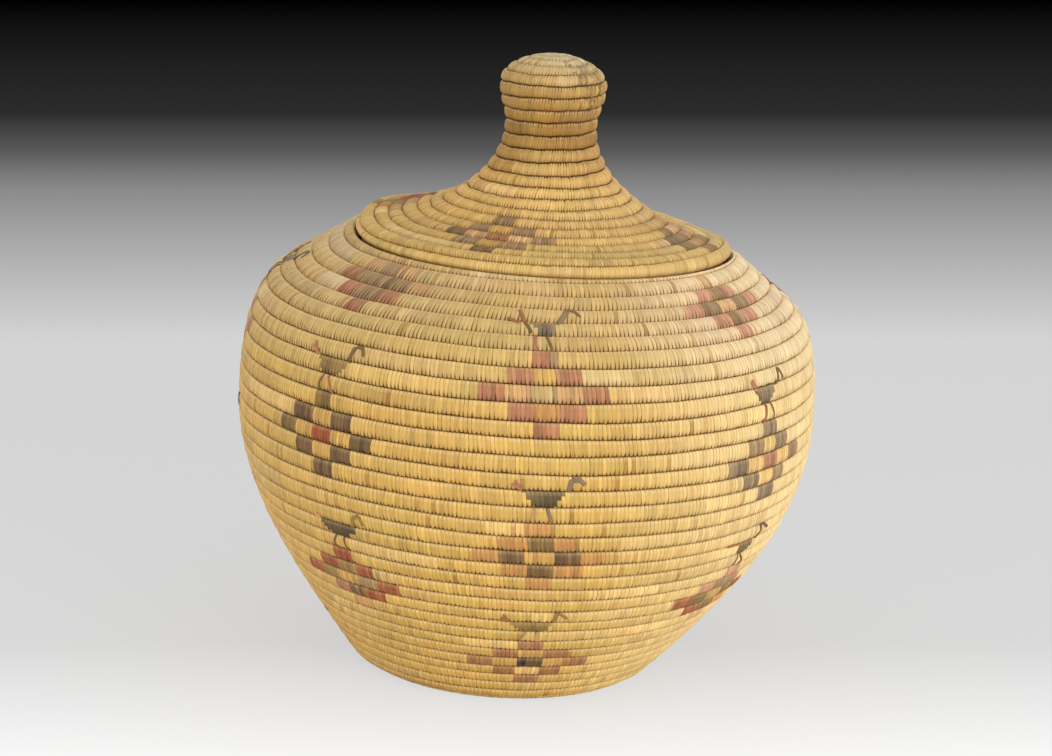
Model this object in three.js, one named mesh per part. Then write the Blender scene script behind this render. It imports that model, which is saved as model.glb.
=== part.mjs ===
// Lidded coiled basket of sewn grass, in millimetres, +Z up.
// The origin is on the ground under the middle of the belly, and the photographed front faces -Y.
//
// Such a basket is two long coils of grass. The body's coil starts in the middle of the floor and
// climbs to the mouth, and the lid's coil starts on top of the knob and runs down to the brim. Each
// turn is sewn to the turn before, so the wall is a ribbed shell whose seams climb as a spiral.
// Here each coil is divided into the stretches that its maker works in.
import * as THREE from 'three';

// Body: radius and height of the outside, measured at the seams between the turns.
const BASE_RADIUS = 70.9;
const FOOT_ROUND = 5;
const BELLY_RADIUS = 134.8;
const BELLY_HEIGHT = 129.3;
const SHOULDER_RADIUS = 118;
const SHOULDER_HEIGHT = 182.2;
const MOUTH_RADIUS = 88.3;
const MOUTH_HEIGHT = 201.8;

// Lid: the neck's rise above the mouth, the knob's widest part above the neck, and its dome.
const NECK_RADIUS = 21.3;
const NECK_RISE = 53.2;
const KNOB_RADIUS = 25.5;
const KNOB_RISE = 19;
const DOME_RISE = 13.7;
const BRIM_TURN_WIDTH = 4;
const BRIM_TURN_DROP = 4.1;

// Coils: the pitch is the height of one turn, sewn in place. A growth is the share by which the
// pitch grows in a turn.
const FOOT_PITCH = 7.04;
const WALL_GROWTH_SHARE = 0.00209;
const KNOB_PITCH = 5.35;
const LID_GROWTH_SHARE = 0.0115;
const FLANGE_PITCH = 6.4;
const FLANGE_TURNS = 2;
const BODY_THICKNESS = 6.5;
const LID_THICKNESS = 6;
const FLANGE_THICKNESS = 5.4;
const LEDGE_COIL_RADIUS = 3.3;
const RIB_HEIGHT = 1.1;
const FLOOR_CUT = 0.5;
const COIL_END = 1.5;

// The handmade form stands a little out of true: its foot and its mouth are off the belly's axis.
const FOOT_SWAY = -5.2;
const FOOT_SWAY_HEIGHT = 90;
const MOUTH_SWAY = 3;

// Clearances.
const SEAM_GAP = 0.3;
const BRIM_CLEARANCE = 1;
const FLANGE_CLEARANCE = 1.2;
const LEDGE_END_GAP = 0.6;

// Steps in one turn, and the direction in which each spiral starts, from +X towards +Y. The lid
// lies in the mouth with its steps in line with the body's.
const WALL_STEPS = 24;
const KNOB_STEPS = 20;
const BODY_START_DEG = -131.4;
const LID_START_DEG = BODY_START_DEG + 13 * 360 / WALL_STEPS;

// Shape of a coil's rib and of the knot that a coil starts with.
const RIB_LOW = 0.22;
const RIB_HIGH = 0.78;
const KNOT_TURNS = 0.6;
const KNOT_CREST = 0.75;
const KNOT_ASIDE = 1.2;

// Where each stretch ends, as a share of the turns between the foot and the mouth. The floor
// ends one turn short of the foot.
const BODY_STRETCHES = [
  ['floor_coil', -0.03],
  ['foot_coil', 0.09],
  ['lower_flank_coil', 0.3],
  ['upper_flank_coil', 0.51],
  ['belly_coil', 0.7],
  ['upper_wall_coil', 0.85],
  ['shoulder_coil', 0.94],
  ['mouth_coil', 1],
];

// The same from the knob's top to the brim, with the steps in a turn and the colour.
const LID_STRETCHES = [
  ['knob_top_coil', 0.22, KNOB_STEPS, 'knob'],
  ['knob_side_coil', 0.39, KNOB_STEPS, 'knob'],
  ['neck_coil', 0.52, WALL_STEPS, 'knob'],
  ['flare_coil', 0.74, WALL_STEPS, 'lid'],
  ['lid_slope_coil', 0.91, WALL_STEPS, 'lid'],
  ['brim_coil', 1, WALL_STEPS, 'lid'],
];

// Outlines.

// The flank swells from the base to the belly as a quarter of a sine wave.
class Flank extends THREE.Curve {
  constructor(from) {
    super();
    this.from = from;
  }

  getPoint(t, target = new THREE.Vector2()) {
    const share = this.from + t * (1 - this.from);
    const swell = Math.sin(share * Math.PI / 2);
    return target.set(BASE_RADIUS + (BELLY_RADIUS - BASE_RADIUS) * swell, share * BELLY_HEIGHT);
  }
}

// From the middle of the floor, over the foot, flank, belly and shoulder, to the mouth.
function bodyOutline() {
  const floorHeight = RIB_HEIGHT - FLOOR_CUT;
  const flank = new Flank((floorHeight + FOOT_ROUND) / BELLY_HEIGHT);
  const corner = new THREE.Vector2(BASE_RADIUS, floorHeight);
  const slope = new THREE.Vector2(SHOULDER_RADIUS - MOUTH_RADIUS, SHOULDER_HEIGHT - MOUTH_HEIGHT);
  const shoulderRise = SHOULDER_HEIGHT - BELLY_HEIGHT;
  const path = new THREE.Path();
  path.moveTo(0, floorHeight);
  path.lineTo(BASE_RADIUS - FOOT_ROUND, floorHeight);
  path.quadraticCurveTo(corner.x, corner.y, flank.getPoint(0).x, flank.getPoint(0).y);
  path.curves.push(flank);
  path.currentPoint.copy(flank.getPoint(1));
  path.bezierCurveTo(
    BELLY_RADIUS, BELLY_HEIGHT + 0.54 * shoulderRise,
    SHOULDER_RADIUS + 0.35 * slope.x, SHOULDER_HEIGHT + 0.35 * slope.y,
    SHOULDER_RADIUS, SHOULDER_HEIGHT,
  );
  path.lineTo(MOUTH_RADIUS, MOUTH_HEIGHT);
  return path;
}

// From the top of the knob, over its side and neck, down the flare to the brim's edge.
function lidOutline() {
  const edge = new THREE.Vector2(MOUTH_RADIUS - BRIM_CLEARANCE, MOUTH_HEIGHT + SEAM_GAP);
  const turn = new THREE.Vector2(edge.x - BRIM_TURN_WIDTH, edge.y + BRIM_TURN_DROP);
  const neck = MOUTH_HEIGHT + NECK_RISE;
  const knob = neck + KNOB_RISE;
  const top = knob + DOME_RISE;
  const flareRise = neck - turn.y;
  const flareReach = turn.x - NECK_RADIUS;
  const path = new THREE.Path();
  path.moveTo(0, top);
  path.bezierCurveTo(
    0.47 * KNOB_RADIUS, top,
    KNOB_RADIUS, knob + 0.77 * DOME_RISE,
    KNOB_RADIUS, knob,
  );
  path.bezierCurveTo(
    KNOB_RADIUS, knob - 0.45 * KNOB_RISE,
    NECK_RADIUS, neck + 0.42 * KNOB_RISE,
    NECK_RADIUS, neck,
  );
  path.bezierCurveTo(
    NECK_RADIUS, neck - 0.39 * flareRise,
    NECK_RADIUS + 0.42 * flareReach, turn.y + 0.16 * flareRise,
    turn.x, turn.y,
  );
  path.lineTo(edge.x, edge.y);
  return path;
}

// A coil laid along an outline. side is +1 where the outside lies to the right of the outline's
// way, and -1 where it lies to the left. spin is +1 where the coil runs anticlockwise seen from
// above. Turn 0 starts at the length that zeroAt gives, and the pitch grows by the same share in
// each turn.
class Coil {
  constructor({ path, side, spin, startDeg, zeroAt = 0, pitch, growth, thickness, sway = () => 0 }) {
    Object.assign(this, { path, side, spin, zeroAt, pitch, growth, thickness, sway });
    this.start = THREE.MathUtils.degToRad(startDeg);
    this.length = path.getLength();
  }

  // Length along the outline at a turn, and the turn at a length.
  lengthAt(turn) {
    const run = this.growth ? Math.expm1(this.growth * turn) / this.growth : turn;
    return THREE.MathUtils.clamp(this.zeroAt + this.pitch * run, 0, this.length);
  }

  turnAt(length) {
    const run = (length - this.zeroAt) / this.pitch;
    return this.growth ? Math.log1p(this.growth * run) / this.growth : run;
  }

  // Radius and height at a length, moved out of the shell by a height measured square to it.
  section(length, out) {
    const t = THREE.MathUtils.clamp(length / this.length, 0, 1);
    const point = this.path.getPoint(t);
    const way = this.path.getTangent(t);
    return new THREE.Vector2(point.x + this.side * way.y * out, point.y - this.side * way.x * out);
  }

  place(section, turn, shift = 0) {
    const angle = this.start + this.spin * (2 * Math.PI * turn + shift / Math.max(section.x, 1));
    const height = Math.max(section.y, 0);
    const x = section.x * Math.cos(angle) + this.sway(height);
    return new THREE.Vector3(x, section.x * Math.sin(angle), height);
  }
}

// Solids.

function solid(points, triangles) {
  const geometry = new THREE.BufferGeometry();
  const flat = points.flatMap((p) => [p.x, p.y, p.z]);
  geometry.setAttribute('position', new THREE.Float32BufferAttribute(flat, 3));
  geometry.setIndex(triangles);
  geometry.computeVertexNormals();
  return geometry;
}

// One stretch of a coil, from turn first to turn last. Each step has its two seam points, outside
// and inside, and the two crests of its rib. A turn's upper seam is the next turn's lower seam, so
// the turns are one body, as they are when sewn.
function stretch(coil, first, last, steps) {
  const from = Math.round(first * steps);
  const count = Math.round(last * steps) - from;
  const points = [];
  const seamOut = [];
  const seamIn = [];
  const ribs = [];
  const add = (p) => points.push(p) - 1;

  for (let i = 0; i <= count + steps; i += 1) {
    const turn = (from + i) / steps;
    let length = coil.lengthAt(turn);
    let shift = 0;
    if (i <= steps) length += SEAM_GAP / 2;
    if (i >= count) length -= SEAM_GAP / 2;
    if (i === 0 || i === steps) shift += SEAM_GAP / 2;
    if (i === count || i === count + steps) shift -= SEAM_GAP / 2;
    seamOut.push(add(coil.place(coil.section(length, 0), turn, shift)));
    seamIn.push(add(coil.place(coil.section(length, -coil.thickness), turn, shift)));
    if (i > count) continue;
    const low = coil.lengthAt(turn);
    const high = coil.lengthAt(turn + 1);
    const rib = RIB_HEIGHT * Math.min(1, (high - low) / coil.pitch);
    ribs.push([RIB_LOW, RIB_HIGH].map((share) => (
      add(coil.place(coil.section(low + share * (high - low), rib), turn, shift))
    )));
  }

  const triangles = [];
  const quad = (a, b, c, d) => triangles.push(a, b, c, a, c, d);
  for (let i = 0; i < count; i += 1) {
    const here = [seamOut[i], ...ribs[i], seamOut[i + steps]];
    const next = [seamOut[i + 1], ...ribs[i + 1], seamOut[i + 1 + steps]];
    for (let k = 0; k < 3; k += 1) quad(here[k], next[k], next[k + 1], here[k + 1]);
    quad(seamIn[i], seamIn[i + steps], seamIn[i + 1 + steps], seamIn[i + 1]);
    if (i < steps) quad(seamOut[i], seamIn[i], seamIn[i + 1], seamOut[i + 1]);
    if (i >= count - steps) {
      const j = i + steps;
      quad(seamOut[j], seamOut[j + 1], seamIn[j + 1], seamIn[j]);
    }
  }
  const end = (i) => [seamIn[i], seamOut[i], ...ribs[i], seamOut[i + steps], seamIn[i + steps]];
  const opening = end(0);
  const closing = end(count);
  for (let k = 1; k < 5; k += 1) {
    triangles.push(opening[0], opening[k], opening[k + 1]);
    triangles.push(closing[0], closing[k + 1], closing[k]);
  }
  return solid(points, triangles);
}

// The start of a coil: the tight knot in its middle, bounded by the first seam. The middle of its
// faces stands a little aside, so that the step where the first turn begins has its full face.
function knot(coil, last, steps) {
  const from = Math.round(last * steps);
  const points = [];
  const add = (p) => points.push(p) - 1;
  const rings = [];
  for (let i = 0; i <= steps; i += 1) {
    const turn = (from + i) / steps;
    const length = coil.lengthAt(turn) - SEAM_GAP / 2;
    const shift = i === 0 || i === steps ? -SEAM_GAP / 2 : 0;
    rings.push([
      add(coil.place(coil.section(KNOT_CREST * length, RIB_HEIGHT), turn, shift)),
      add(coil.place(coil.section(length, 0), turn, shift)),
      add(coil.place(coil.section(length, -coil.thickness), turn, shift)),
    ]);
  }
  const aside = from / steps - 0.25;
  const outside = add(coil.place(coil.section(KNOT_ASIDE, RIB_HEIGHT), aside));
  const inside = add(coil.place(coil.section(KNOT_ASIDE, -coil.thickness), aside));
  const triangles = [];
  const quad = (a, b, c, d) => triangles.push(a, b, c, a, c, d);
  rings.forEach(([crest, seam, back], i) => {
    const [nextCrest, nextSeam, nextBack] = rings[(i + 1) % rings.length];
    triangles.push(outside, nextCrest, crest);
    quad(crest, nextCrest, nextSeam, seam);
    quad(seam, nextSeam, nextBack, back);
    triangles.push(inside, back, nextBack);
  });
  return solid(points, triangles);
}

// A round coil laid in one level turn, whose two ends face each other across a small gap.
class LevelTurn extends THREE.Curve {
  constructor(radius, height, startDeg, gap) {
    super();
    this.radius = radius;
    this.height = height;
    this.start = THREE.MathUtils.degToRad(startDeg) + gap / 2 / radius;
    this.sweep = 2 * Math.PI - gap / radius;
  }

  getPoint(t, target = new THREE.Vector3()) {
    const angle = this.start + this.sweep * t;
    return target.set(this.radius * Math.cos(angle), this.radius * Math.sin(angle), this.height);
  }
}

function roundCoil(radius, curve, steps) {
  const section = new THREE.Shape(new THREE.EllipseCurve(0, 0, radius, radius).getPoints(8));
  return new THREE.ExtrudeGeometry(section, { steps, extrudePath: curve, bevelEnabled: false });
}

// The basket.

const straw = { body: 0xcfae72, rim: 0xc9a668, knob: 0xc8a35c, lid: 0xd0a95c, flange: 0xc2a068 };

function mesh(name, geometry, colour) {
  const material = new THREE.MeshStandardMaterial({ color: colour, roughness: 0.75, metalness: 0 });
  const piece = new THREE.Mesh(geometry, material);
  piece.name = name;
  return piece;
}

// Sideways offset of the body's turns at a height.
function bodySway(height) {
  const foot = Math.max(0, 1 - height / FOOT_SWAY_HEIGHT);
  const level = MOUTH_HEIGHT - 2 * BODY_THICKNESS;
  return FOOT_SWAY * foot * foot + MOUTH_SWAY * THREE.MathUtils.smoothstep(height, BELLY_HEIGHT, level);
}

const bodyPath = bodyOutline();
const footCorner = bodyPath.curves[0].getLength() + bodyPath.curves[1].getLength() / 2;
const bodyCoil = new Coil({
  path: bodyPath,
  side: 1,
  spin: 1,
  startDeg: BODY_START_DEG,
  zeroAt: footCorner,
  pitch: FOOT_PITCH,
  growth: WALL_GROWTH_SHARE,
  thickness: BODY_THICKNESS,
  sway: bodySway,
});
const lidCoil = new Coil({
  path: lidOutline(),
  side: -1,
  spin: -1,
  startDeg: LID_START_DEG,
  pitch: KNOB_PITCH,
  growth: LID_GROWTH_SHARE,
  thickness: LID_THICKNESS,
});

// The ledge is a coil sewn inside the mouth. It lies against the mouth's inner corner, and the
// lid's brim rests on it with its lower corner.
const mouthCorner = bodyCoil.section(bodyCoil.length, -BODY_THICKNESS);
const brimCorner = lidCoil.section(lidCoil.length, -LID_THICKNESS);
const reach = LEDGE_COIL_RADIUS + SEAM_GAP;
const corners = mouthCorner.clone().sub(brimCorner);
const drop = Math.sqrt(reach ** 2 - corners.lengthSq() / 4);
const ledge = new THREE.Vector2(corners.y, -corners.x).setLength(drop)
  .add(mouthCorner.clone().add(brimCorner).multiplyScalar(0.5));

// The flange is a short collar of coil sewn under the lid, which keeps the lid in the mouth.
const flangeRadius = ledge.x - LEDGE_COIL_RADIUS - FLANGE_CLEARANCE - RIB_HEIGHT;
let underLid = lidCoil.length;
while (lidCoil.section(underLid, -LID_THICKNESS).x > flangeRadius) underLid -= SEAM_GAP;
const flangeTop = lidCoil.section(underLid, -LID_THICKNESS).y - SEAM_GAP;
const flangePath = new THREE.Path();
flangePath.moveTo(flangeRadius, flangeTop);
flangePath.lineTo(flangeRadius, flangeTop - FLANGE_TURNS * FLANGE_PITCH);
const flangeCoil = new Coil({
  path: flangePath,
  side: -1,
  spin: -1,
  startDeg: LID_START_DEG,
  pitch: FLANGE_PITCH,
  growth: 0,
  thickness: FLANGE_THICKNESS,
});

const basket = new THREE.Group();
const wallTurns = bodyCoil.turnAt(bodyCoil.length);
let turn = bodyCoil.turnAt(0) + KNOT_TURNS;
basket.add(mesh('floor_start_coil', knot(bodyCoil, turn, WALL_STEPS), straw.body));
BODY_STRETCHES.forEach(([name, share]) => {
  const last = share === 1 ? bodyCoil.turnAt(bodyCoil.length - COIL_END) : share * wallTurns;
  basket.add(mesh(name, stretch(bodyCoil, turn, last, WALL_STEPS), straw.body));
  turn = last;
});
const ledgeTurn = new LevelTurn(ledge.x, ledge.y, BODY_START_DEG, LEDGE_END_GAP);
const ledgeMesh = mesh('mouth_ledge_coil', roundCoil(LEDGE_COIL_RADIUS, ledgeTurn, WALL_STEPS), straw.rim);
ledgeMesh.position.x = MOUTH_SWAY;
basket.add(ledgeMesh);

const lid = new THREE.Group();
lid.position.x = MOUTH_SWAY;
const lidTurns = lidCoil.turnAt(lidCoil.length);
turn = lidCoil.turnAt(0) + KNOT_TURNS;
lid.add(mesh('knob_start_coil', knot(lidCoil, turn, KNOB_STEPS), straw.knob));
LID_STRETCHES.forEach(([name, share, steps, colour]) => {
  const last = share === 1 ? lidCoil.turnAt(lidCoil.length - COIL_END) : share * lidTurns;
  lid.add(mesh(name, stretch(lidCoil, turn, last, steps), straw[colour]));
  turn = last;
});
const flangeFirst = flangeCoil.turnAt(COIL_END) - 1;
const flangeLast = flangeCoil.turnAt(flangeCoil.length - COIL_END);
const flangeGeometry = stretch(flangeCoil, flangeFirst, flangeLast, WALL_STEPS);
lid.add(mesh('lid_flange_coil', flangeGeometry, straw.flange));
basket.add(lid);

export default basket;
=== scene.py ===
"""A lidded basket of coiled grass, sewn in straw with dyed diamonds and birds."""

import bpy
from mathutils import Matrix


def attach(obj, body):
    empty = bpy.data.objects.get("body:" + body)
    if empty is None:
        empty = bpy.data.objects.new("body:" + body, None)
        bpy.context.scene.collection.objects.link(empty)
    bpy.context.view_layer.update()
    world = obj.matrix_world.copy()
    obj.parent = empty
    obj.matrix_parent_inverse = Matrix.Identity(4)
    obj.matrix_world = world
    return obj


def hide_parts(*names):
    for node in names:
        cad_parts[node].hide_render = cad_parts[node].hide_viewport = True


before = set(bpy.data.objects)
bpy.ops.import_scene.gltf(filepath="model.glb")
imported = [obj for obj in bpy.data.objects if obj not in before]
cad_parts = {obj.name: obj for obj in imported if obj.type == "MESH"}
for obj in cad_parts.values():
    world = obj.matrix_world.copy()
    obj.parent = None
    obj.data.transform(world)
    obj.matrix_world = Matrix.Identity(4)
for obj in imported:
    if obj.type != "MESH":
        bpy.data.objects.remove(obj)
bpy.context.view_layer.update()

import math
from types import SimpleNamespace

import bmesh
import bpy
import numpy as np
from bpy.props import (
    FloatProperty,
    FloatVectorProperty,
    IntProperty,
    PointerProperty,
)
from mathutils import Matrix, Vector

bl_info = {
    "name": "Lidded grass basket",
    "version": (1, 0, 0),
    "blender": (4, 5, 0),
    "location": "3D View > Sidebar > Grass basket",
    "description": "Coils, stitches, dyed patterns and stage of a lidded grass basket",
    "category": "Object",
}

MM = 0.001

# Where each stretch of a coil ends, as a share of its turns, as in the CAD.
BODY_STRETCHES = (
    ("floor_coil", -0.03),
    ("foot_coil", 0.09),
    ("lower_flank_coil", 0.3),
    ("upper_flank_coil", 0.51),
    ("belly_coil", 0.7),
    ("upper_wall_coil", 0.85),
    ("shoulder_coil", 0.94),
    ("mouth_coil", 1),
)
LID_STRETCHES = (
    ("knob_top_coil", 0.22),
    ("knob_side_coil", 0.39),
    ("neck_coil", 0.52),
    ("flare_coil", 0.74),
    ("lid_slope_coil", 0.91),
    ("brim_coil", 1),
)

# Turns in the knot at a coil's start, and how far before its outline's end a coil stops.
KNOT_TURNS = 0.6
COIL_END = 0.3 * MM

# Place on the lid's outline from which its turns are counted, and the radius below which the
# turns get no fewer stitches.
KNOB_ZERO = -0.0023
LEAST_RADIUS = 5.4 * MM

# Humps of the shoulder and lid: middle and reach in degrees, and height as a share. Then the
# heights of the body and the radii of the lid between which they grow.
HUMPS = ((160.0, 50.0, 0.9), (25.0, 42.0, -1.0))
HUMP_HEIGHTS = (0.16, 0.19)
HUMP_RADII = (0.035, 0.07)

# Height up to which the foot sways, and how far below the mouth its own sway begins.
FOOT_SWAY_TOP = 0.09
MOUTH_SWAY_DROP = 0.023

# How seams stray: strength, number in a turn and phase of each wave, and the length over which
# they calm down at both ends of a coil. Then how stitches lean, and how their lean strays.
SEAM_WAVES = ((0.45, 1.37, 0.6), (0.4, 3.3, 2.1), (0.3, 7.9, 4.0), (0.2, 17.3, 1.0))
CALM_LENGTH = 12 * MM
STITCH_LEAN = 0.09
LEAN_WAVES = ((0.03, 0.31, 0.0), (0.03, 2.3, 1.0))

# How far the handles of the outline's curves reach, as shares of each curve's span.
SHOULDER_PULLS = (0.7, 0.35)
DOME_PULLS = (0.42, 0.66)
WAIST_PULLS = (0.45, 0.42)
FLARE_PULLS = (0.44, 0.36, 0.11)

# How deep the floor's seams lie, how the brim's edge stands from the mouth's, and the room that
# the hidden coils get.
FLOOR_SINK = 0.5 * MM
BRIM_INSET, BRIM_RISE = 1.0 * MM, 0.3 * MM
SEAT_ROOM, FLANGE_ROOM = 0.3 * MM, 1.2 * MM

# Rows of points round a coil: across its outside, back across its inside, and both together.
OUTER_ROWS = np.array([0, 0.035, 0.11, 0.25, 0.5, 0.75, 0.89, 0.965, 1])
INNER_ROWS = np.array([1, 0.85, 0.5, 0.15, 0])
ACROSS = np.concatenate([OUTER_ROWS, 2 - INNER_ROWS, [2.0]])

# Rows with a sharp edge: the two seams, and the corners of the inside.
SHARP_ROWS = (0, 8, 9, 13, 14)

# Section of a coil: share of the pitch from which it is full, the least fullness of its seams,
# the share of its height in which the ends of stitches stray, how far they are tucked in, how
# deep a slit goes on in its seam, and depth and squareness of the ribs inside.
FULL_PITCH, SEAM_FULLNESS = 0.7, 0.35
END_SHARE, END_TUCK = 0.25, 0.05 * MM
SLIT_IN_SEAM = 0.3
INNER_RIB, INNER_SQUARENESS = 1.1 * MM, 2.6

# How the work of body and lid differs.
# spin: 1 winds anticlockwise as seen from above, -1 clockwise. start: direction of its start.
# cream: least share of cream in the straw, and how much it grows towards the right, where the
# growth is a painted highlight on the side that faces the large lamp.
# rim_depth: depth of the last seam. leftward_lean: extra lean of the stitches at the left.
# work: share of the coil's turns, height of the rib as a share, depth of the seams in mm,
# squareness of the rib, strength of the painted shade in the seams, length of the slits between
# the first ends of the stitches and strength of the painted shade in them, and how much slits
# also open between their last ends.
# tint: share of the coil's turns, and the shares of red, green and blue that age leaves, with
# painted shade in them, darkest at the lid's neck; the body's straw is also darker at the foot.
BODY = SimpleNamespace(
    spin=1,
    start=math.radians(-131.4),
    cream=(-0.42, 1.55),
    rim_depth=1.1 * MM,
    leftward_lean=0.19,
    work=np.array((
        (-0.4, 1.0, 0.5, 3.0, 0.6, 0.2, 0.7, 0.1),
        (0.0, 1.0, 0.5, 3.0, 0.85, 0.3, 0.85, 0.2),
        (0.4, 1.0, 0.45, 3.0, 0.78, 0.3, 0.8, 0.2),
        (0.7, 1.0, 0.45, 3.0, 0.78, 0.3, 0.8, 0.2),
        (0.8, 1.0, 0.5, 2.8, 0.5, 0.4, 0.95, 0.15),
        (0.87, 1.0, 0.55, 2.5, 0.16, 0.5, 1.0, 0.06),
        (1.0, 1.0, 0.55, 2.5, 0.1, 0.42, 0.8, 0.05),
    )),
    age_and_shade_tint=np.array((
        (0.0, 0.9, 0.86, 0.68), (0.06, 0.96, 0.92, 0.79), (0.4, 0.92, 0.86, 0.77),
        (0.7, 0.9, 0.855, 0.83), (0.78, 0.88, 0.9, 1.14), (0.86, 0.87, 0.9, 1.38),
        (1.0, 0.87, 0.91, 1.32),
    )),
)
LID = SimpleNamespace(
    spin=-1,
    start=math.radians(63.6),
    cream=(0.12, 0.1),
    rim_depth=2.2 * MM,
    leftward_lean=0.0,
    work=np.array((
        (0.0, 0.5, 0.3, 2.4, 0.2, 0.25, 0.6, 0.5),
        (0.15, 0.6, 0.4, 2.4, 0.4, 0.25, 0.8, 0.6),
        (0.21, 1.0, 0.8, 2.4, 0.9, 0.3, 0.9, 0.3),
        (0.35, 1.0, 0.9, 2.3, 0.95, 0.34, 1.0, 0.2),
        (0.5, 1.0, 0.9, 2.3, 0.9, 0.34, 1.0, 0.5),
        (0.65, 1.0, 0.7, 2.4, 0.65, 0.34, 0.95, 0.9),
        (0.8, 1.0, 0.55, 2.5, 0.22, 0.3, 0.65, 1.0),
        (0.93, 1.0, 0.6, 2.5, 0.2, 0.24, 0.5, 0.9),
        (1.0, 1.0, 1.0, 2.2, 0.2, 0.15, 0.25, 0.3),
    )),
    age_and_shade_tint=np.array((
        (0.0, 0.94, 1.1, 2.2), (0.12, 0.88, 0.98, 1.6), (0.22, 0.67, 0.59, 0.56),
        (0.32, 0.5, 0.39, 0.26), (0.4, 0.43, 0.32, 0.18), (0.47, 0.72, 0.61, 0.53),
        (0.6, 1.03, 0.98, 1.1), (0.75, 0.89, 0.84, 0.9), (0.9, 0.92, 0.93, 1.02),
        (1.0, 0.92, 0.91, 1.0),
    )),
)

# Natural strands: odds of each straw colour, stitches that one strand sews, how much its own
# colour shows, how far the shade of a strand and of a stitch strays, and how much of its tint of
# age and painted shade cream straw and the painted highlight on the lamp's side are spared.
STRAW_ODDS = (0.1, 0.4, 0.22, 0.18, 0.06, 0.04)
STRAND_STITCHES = (6, 30)
STRAND_SHOWS = 0.28
STRAND_SHADE, STITCH_SHADE = 0.055, 0.075
CREAM_SPARED = 0.4
# Odd brown stitches: their share, the range of their shade, and their colour.
ODD_SHARE, ODD_SHADES, ODD_BROWN = 0.02, (0.65, 0.95), (0.94, 0.82, 0.68)

# Points along a coil between which its stitches are counted.
COUNTING_POINTS = 60000
# How stitches stray: range and power of their slits, spread of their lift, of the dip of their
# ends, and of their lean.
SLIT_RANGE, SLIT_POWER = (0.2, 1.5), 1.3
LIFT_SPREAD, DIP_SPREAD, LEAN_SPREAD = 0.07 * MM, 0.13 * MM, 0.035

# Frayed patch of the knob: direction in degrees, first coil and the one after its last, and half
# its width in mm. Then the ranges of its shade and cover, and how much slits and lifts grow.
FRAYED_PATCH = (-38.0, 2, 7, 8.5)
FRAYED_SHADES, FRAYED_COVERS = (0.2, 1.3), (0, 0.8)
FRAYED_SLIT, FRAYED_LIFT = 3, 4.5

# Dyed blocks: spread of their shade, and middle and spread of the dye's cover.
DYE_SHADE, DYE_COVER = 0.13, (0.92, 0.07)
# Backs of birds: how ragged they are in mm, power of their outline, cover, and shade at the keel.
BIRD_RAGGED, BIRD_POWER, BIRD_COVER, KEEL_SHADE = 0.35, 0.85, 0.95, 0.35
# Strands over the coils: rows of points round one, thickness, mm to a column of points, height on
# a coil's back, share of it in a seam, share of the width at an end, and how far an end sinks.
STRAND_ROWS, STRAND_THICKNESS, STRAND_STEP = 8, 0.28 * MM, 0.6
STRAND_HEIGHT, STRAND_IN_SEAM = 1.15 * MM, 0.3
STRAND_END_WIDTH, STRAND_END_SINK = 0.6, 0.5 * MM

# Dyed rows: coil, direction of the row's middle in degrees, block in mm, and the blocks from
# left to right. Five rows make a stepped diamond.
FRONT_ROWS = (
    (26, -86.9, 3.5, "rrg"), (25, -86.8, 10.4, "rar"), (24, -86.8, 11.2, "rpypr"),
    (23, -86.1, 10.9, "ror"), (22, -86.1, 11.0, "r"),
    (16, -86.0, 11.4, "o"), (15, -85.8, 11.3, "odo"), (14, -85.5, 11.6, "oeaeo"),
    (13, -85.1, 11.7, "oeo"), (12, -85.1, 11.1, "o"),
    (6, -83.9, 9.9, "r"), (5, -83.1, 11.1, "bab"), (4, -83.0, 10.6, "bakab"),
    (3, -82.9, 9.9, "bcb"), (2, -81.6, 11.0, "b"),
)
LEFT_ROWS = (
    (32, -133.4, 8.6, "i"), (31, -133.1, 10.2, "igi"), (30, -132.5, 10.6, "rgggi"),
    (29, -132.5, 11.6, "rgr"), (28, -132.1, 10.6, "r"),
    (22, -131.1, 11.0, "d"), (21, -131.2, 11.3, "eae"), (20, -130.9, 11.1, "dasae"),
    (19, -130.8, 10.9, "eae"), (18, -130.4, 11.1, "e"),
    (12, -128.9, 11.1, "s"), (11, -129.1, 10.5, "svs"), (10, -129.4, 11.1, "svags"),
    (9, -128.2, 10.0, "res"), (8, -127.8, 10.4, "q"),
)
RIGHT_ROWS = (
    (31, -40.2, 6.7, "x"), (30, -38.6, 8.8, "ngn"), (29, -38.0, 10.8, "ngxgn"),
    (28, -37.6, 10.1, "ngn"), (27, -37.8, 9.5, "n"),
    (21, -36.2, 11.4, "w"), (20, -36.1, 10.3, "gcw"), (19, -35.8, 11.2, "wcrcg"),
    (18, -36.5, 10.5, "wcg"), (17, -35.5, 11.6, "w"),
    (11, -34.5, 11.0, "n"), (10, -36.0, 10.6, "ngr"), (9, -35.4, 11.0, "sdads"),
    (8, -35.4, 10.4, "sdo"), (7, -36.0, 11.0, "x"),
)
LID_ROWS = (
    (16, -111.1, 8.7, "g"), (17, -110.1, 10.0, "gag"), (18, -109.5, 10.5, "dibxg"),
    (19, -110.6, 11.3, "gag"), (20, -110.5, 11.3, "d"),
)
LID_RIGHT_ROWS = (
    (17, -10.5, 9.0, "i"), (18, -14.5, 10.0, "gxi"), (19, -20.7, 10.5, "xwgnx"),
    (20, -20.0, 11.0, "gig"), (21, -20.8, 11.3, "g"),
)
LID_BACK_ROWS = (
    (18, 162.0, 9.0, "d"), (19, 163.0, 10.0, "osi"), (20, 164.0, 10.5, "odsvi"),
    (21, 165.0, 11.0, "ovo"), (22, 165.0, 11.3, "v"),
)

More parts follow.
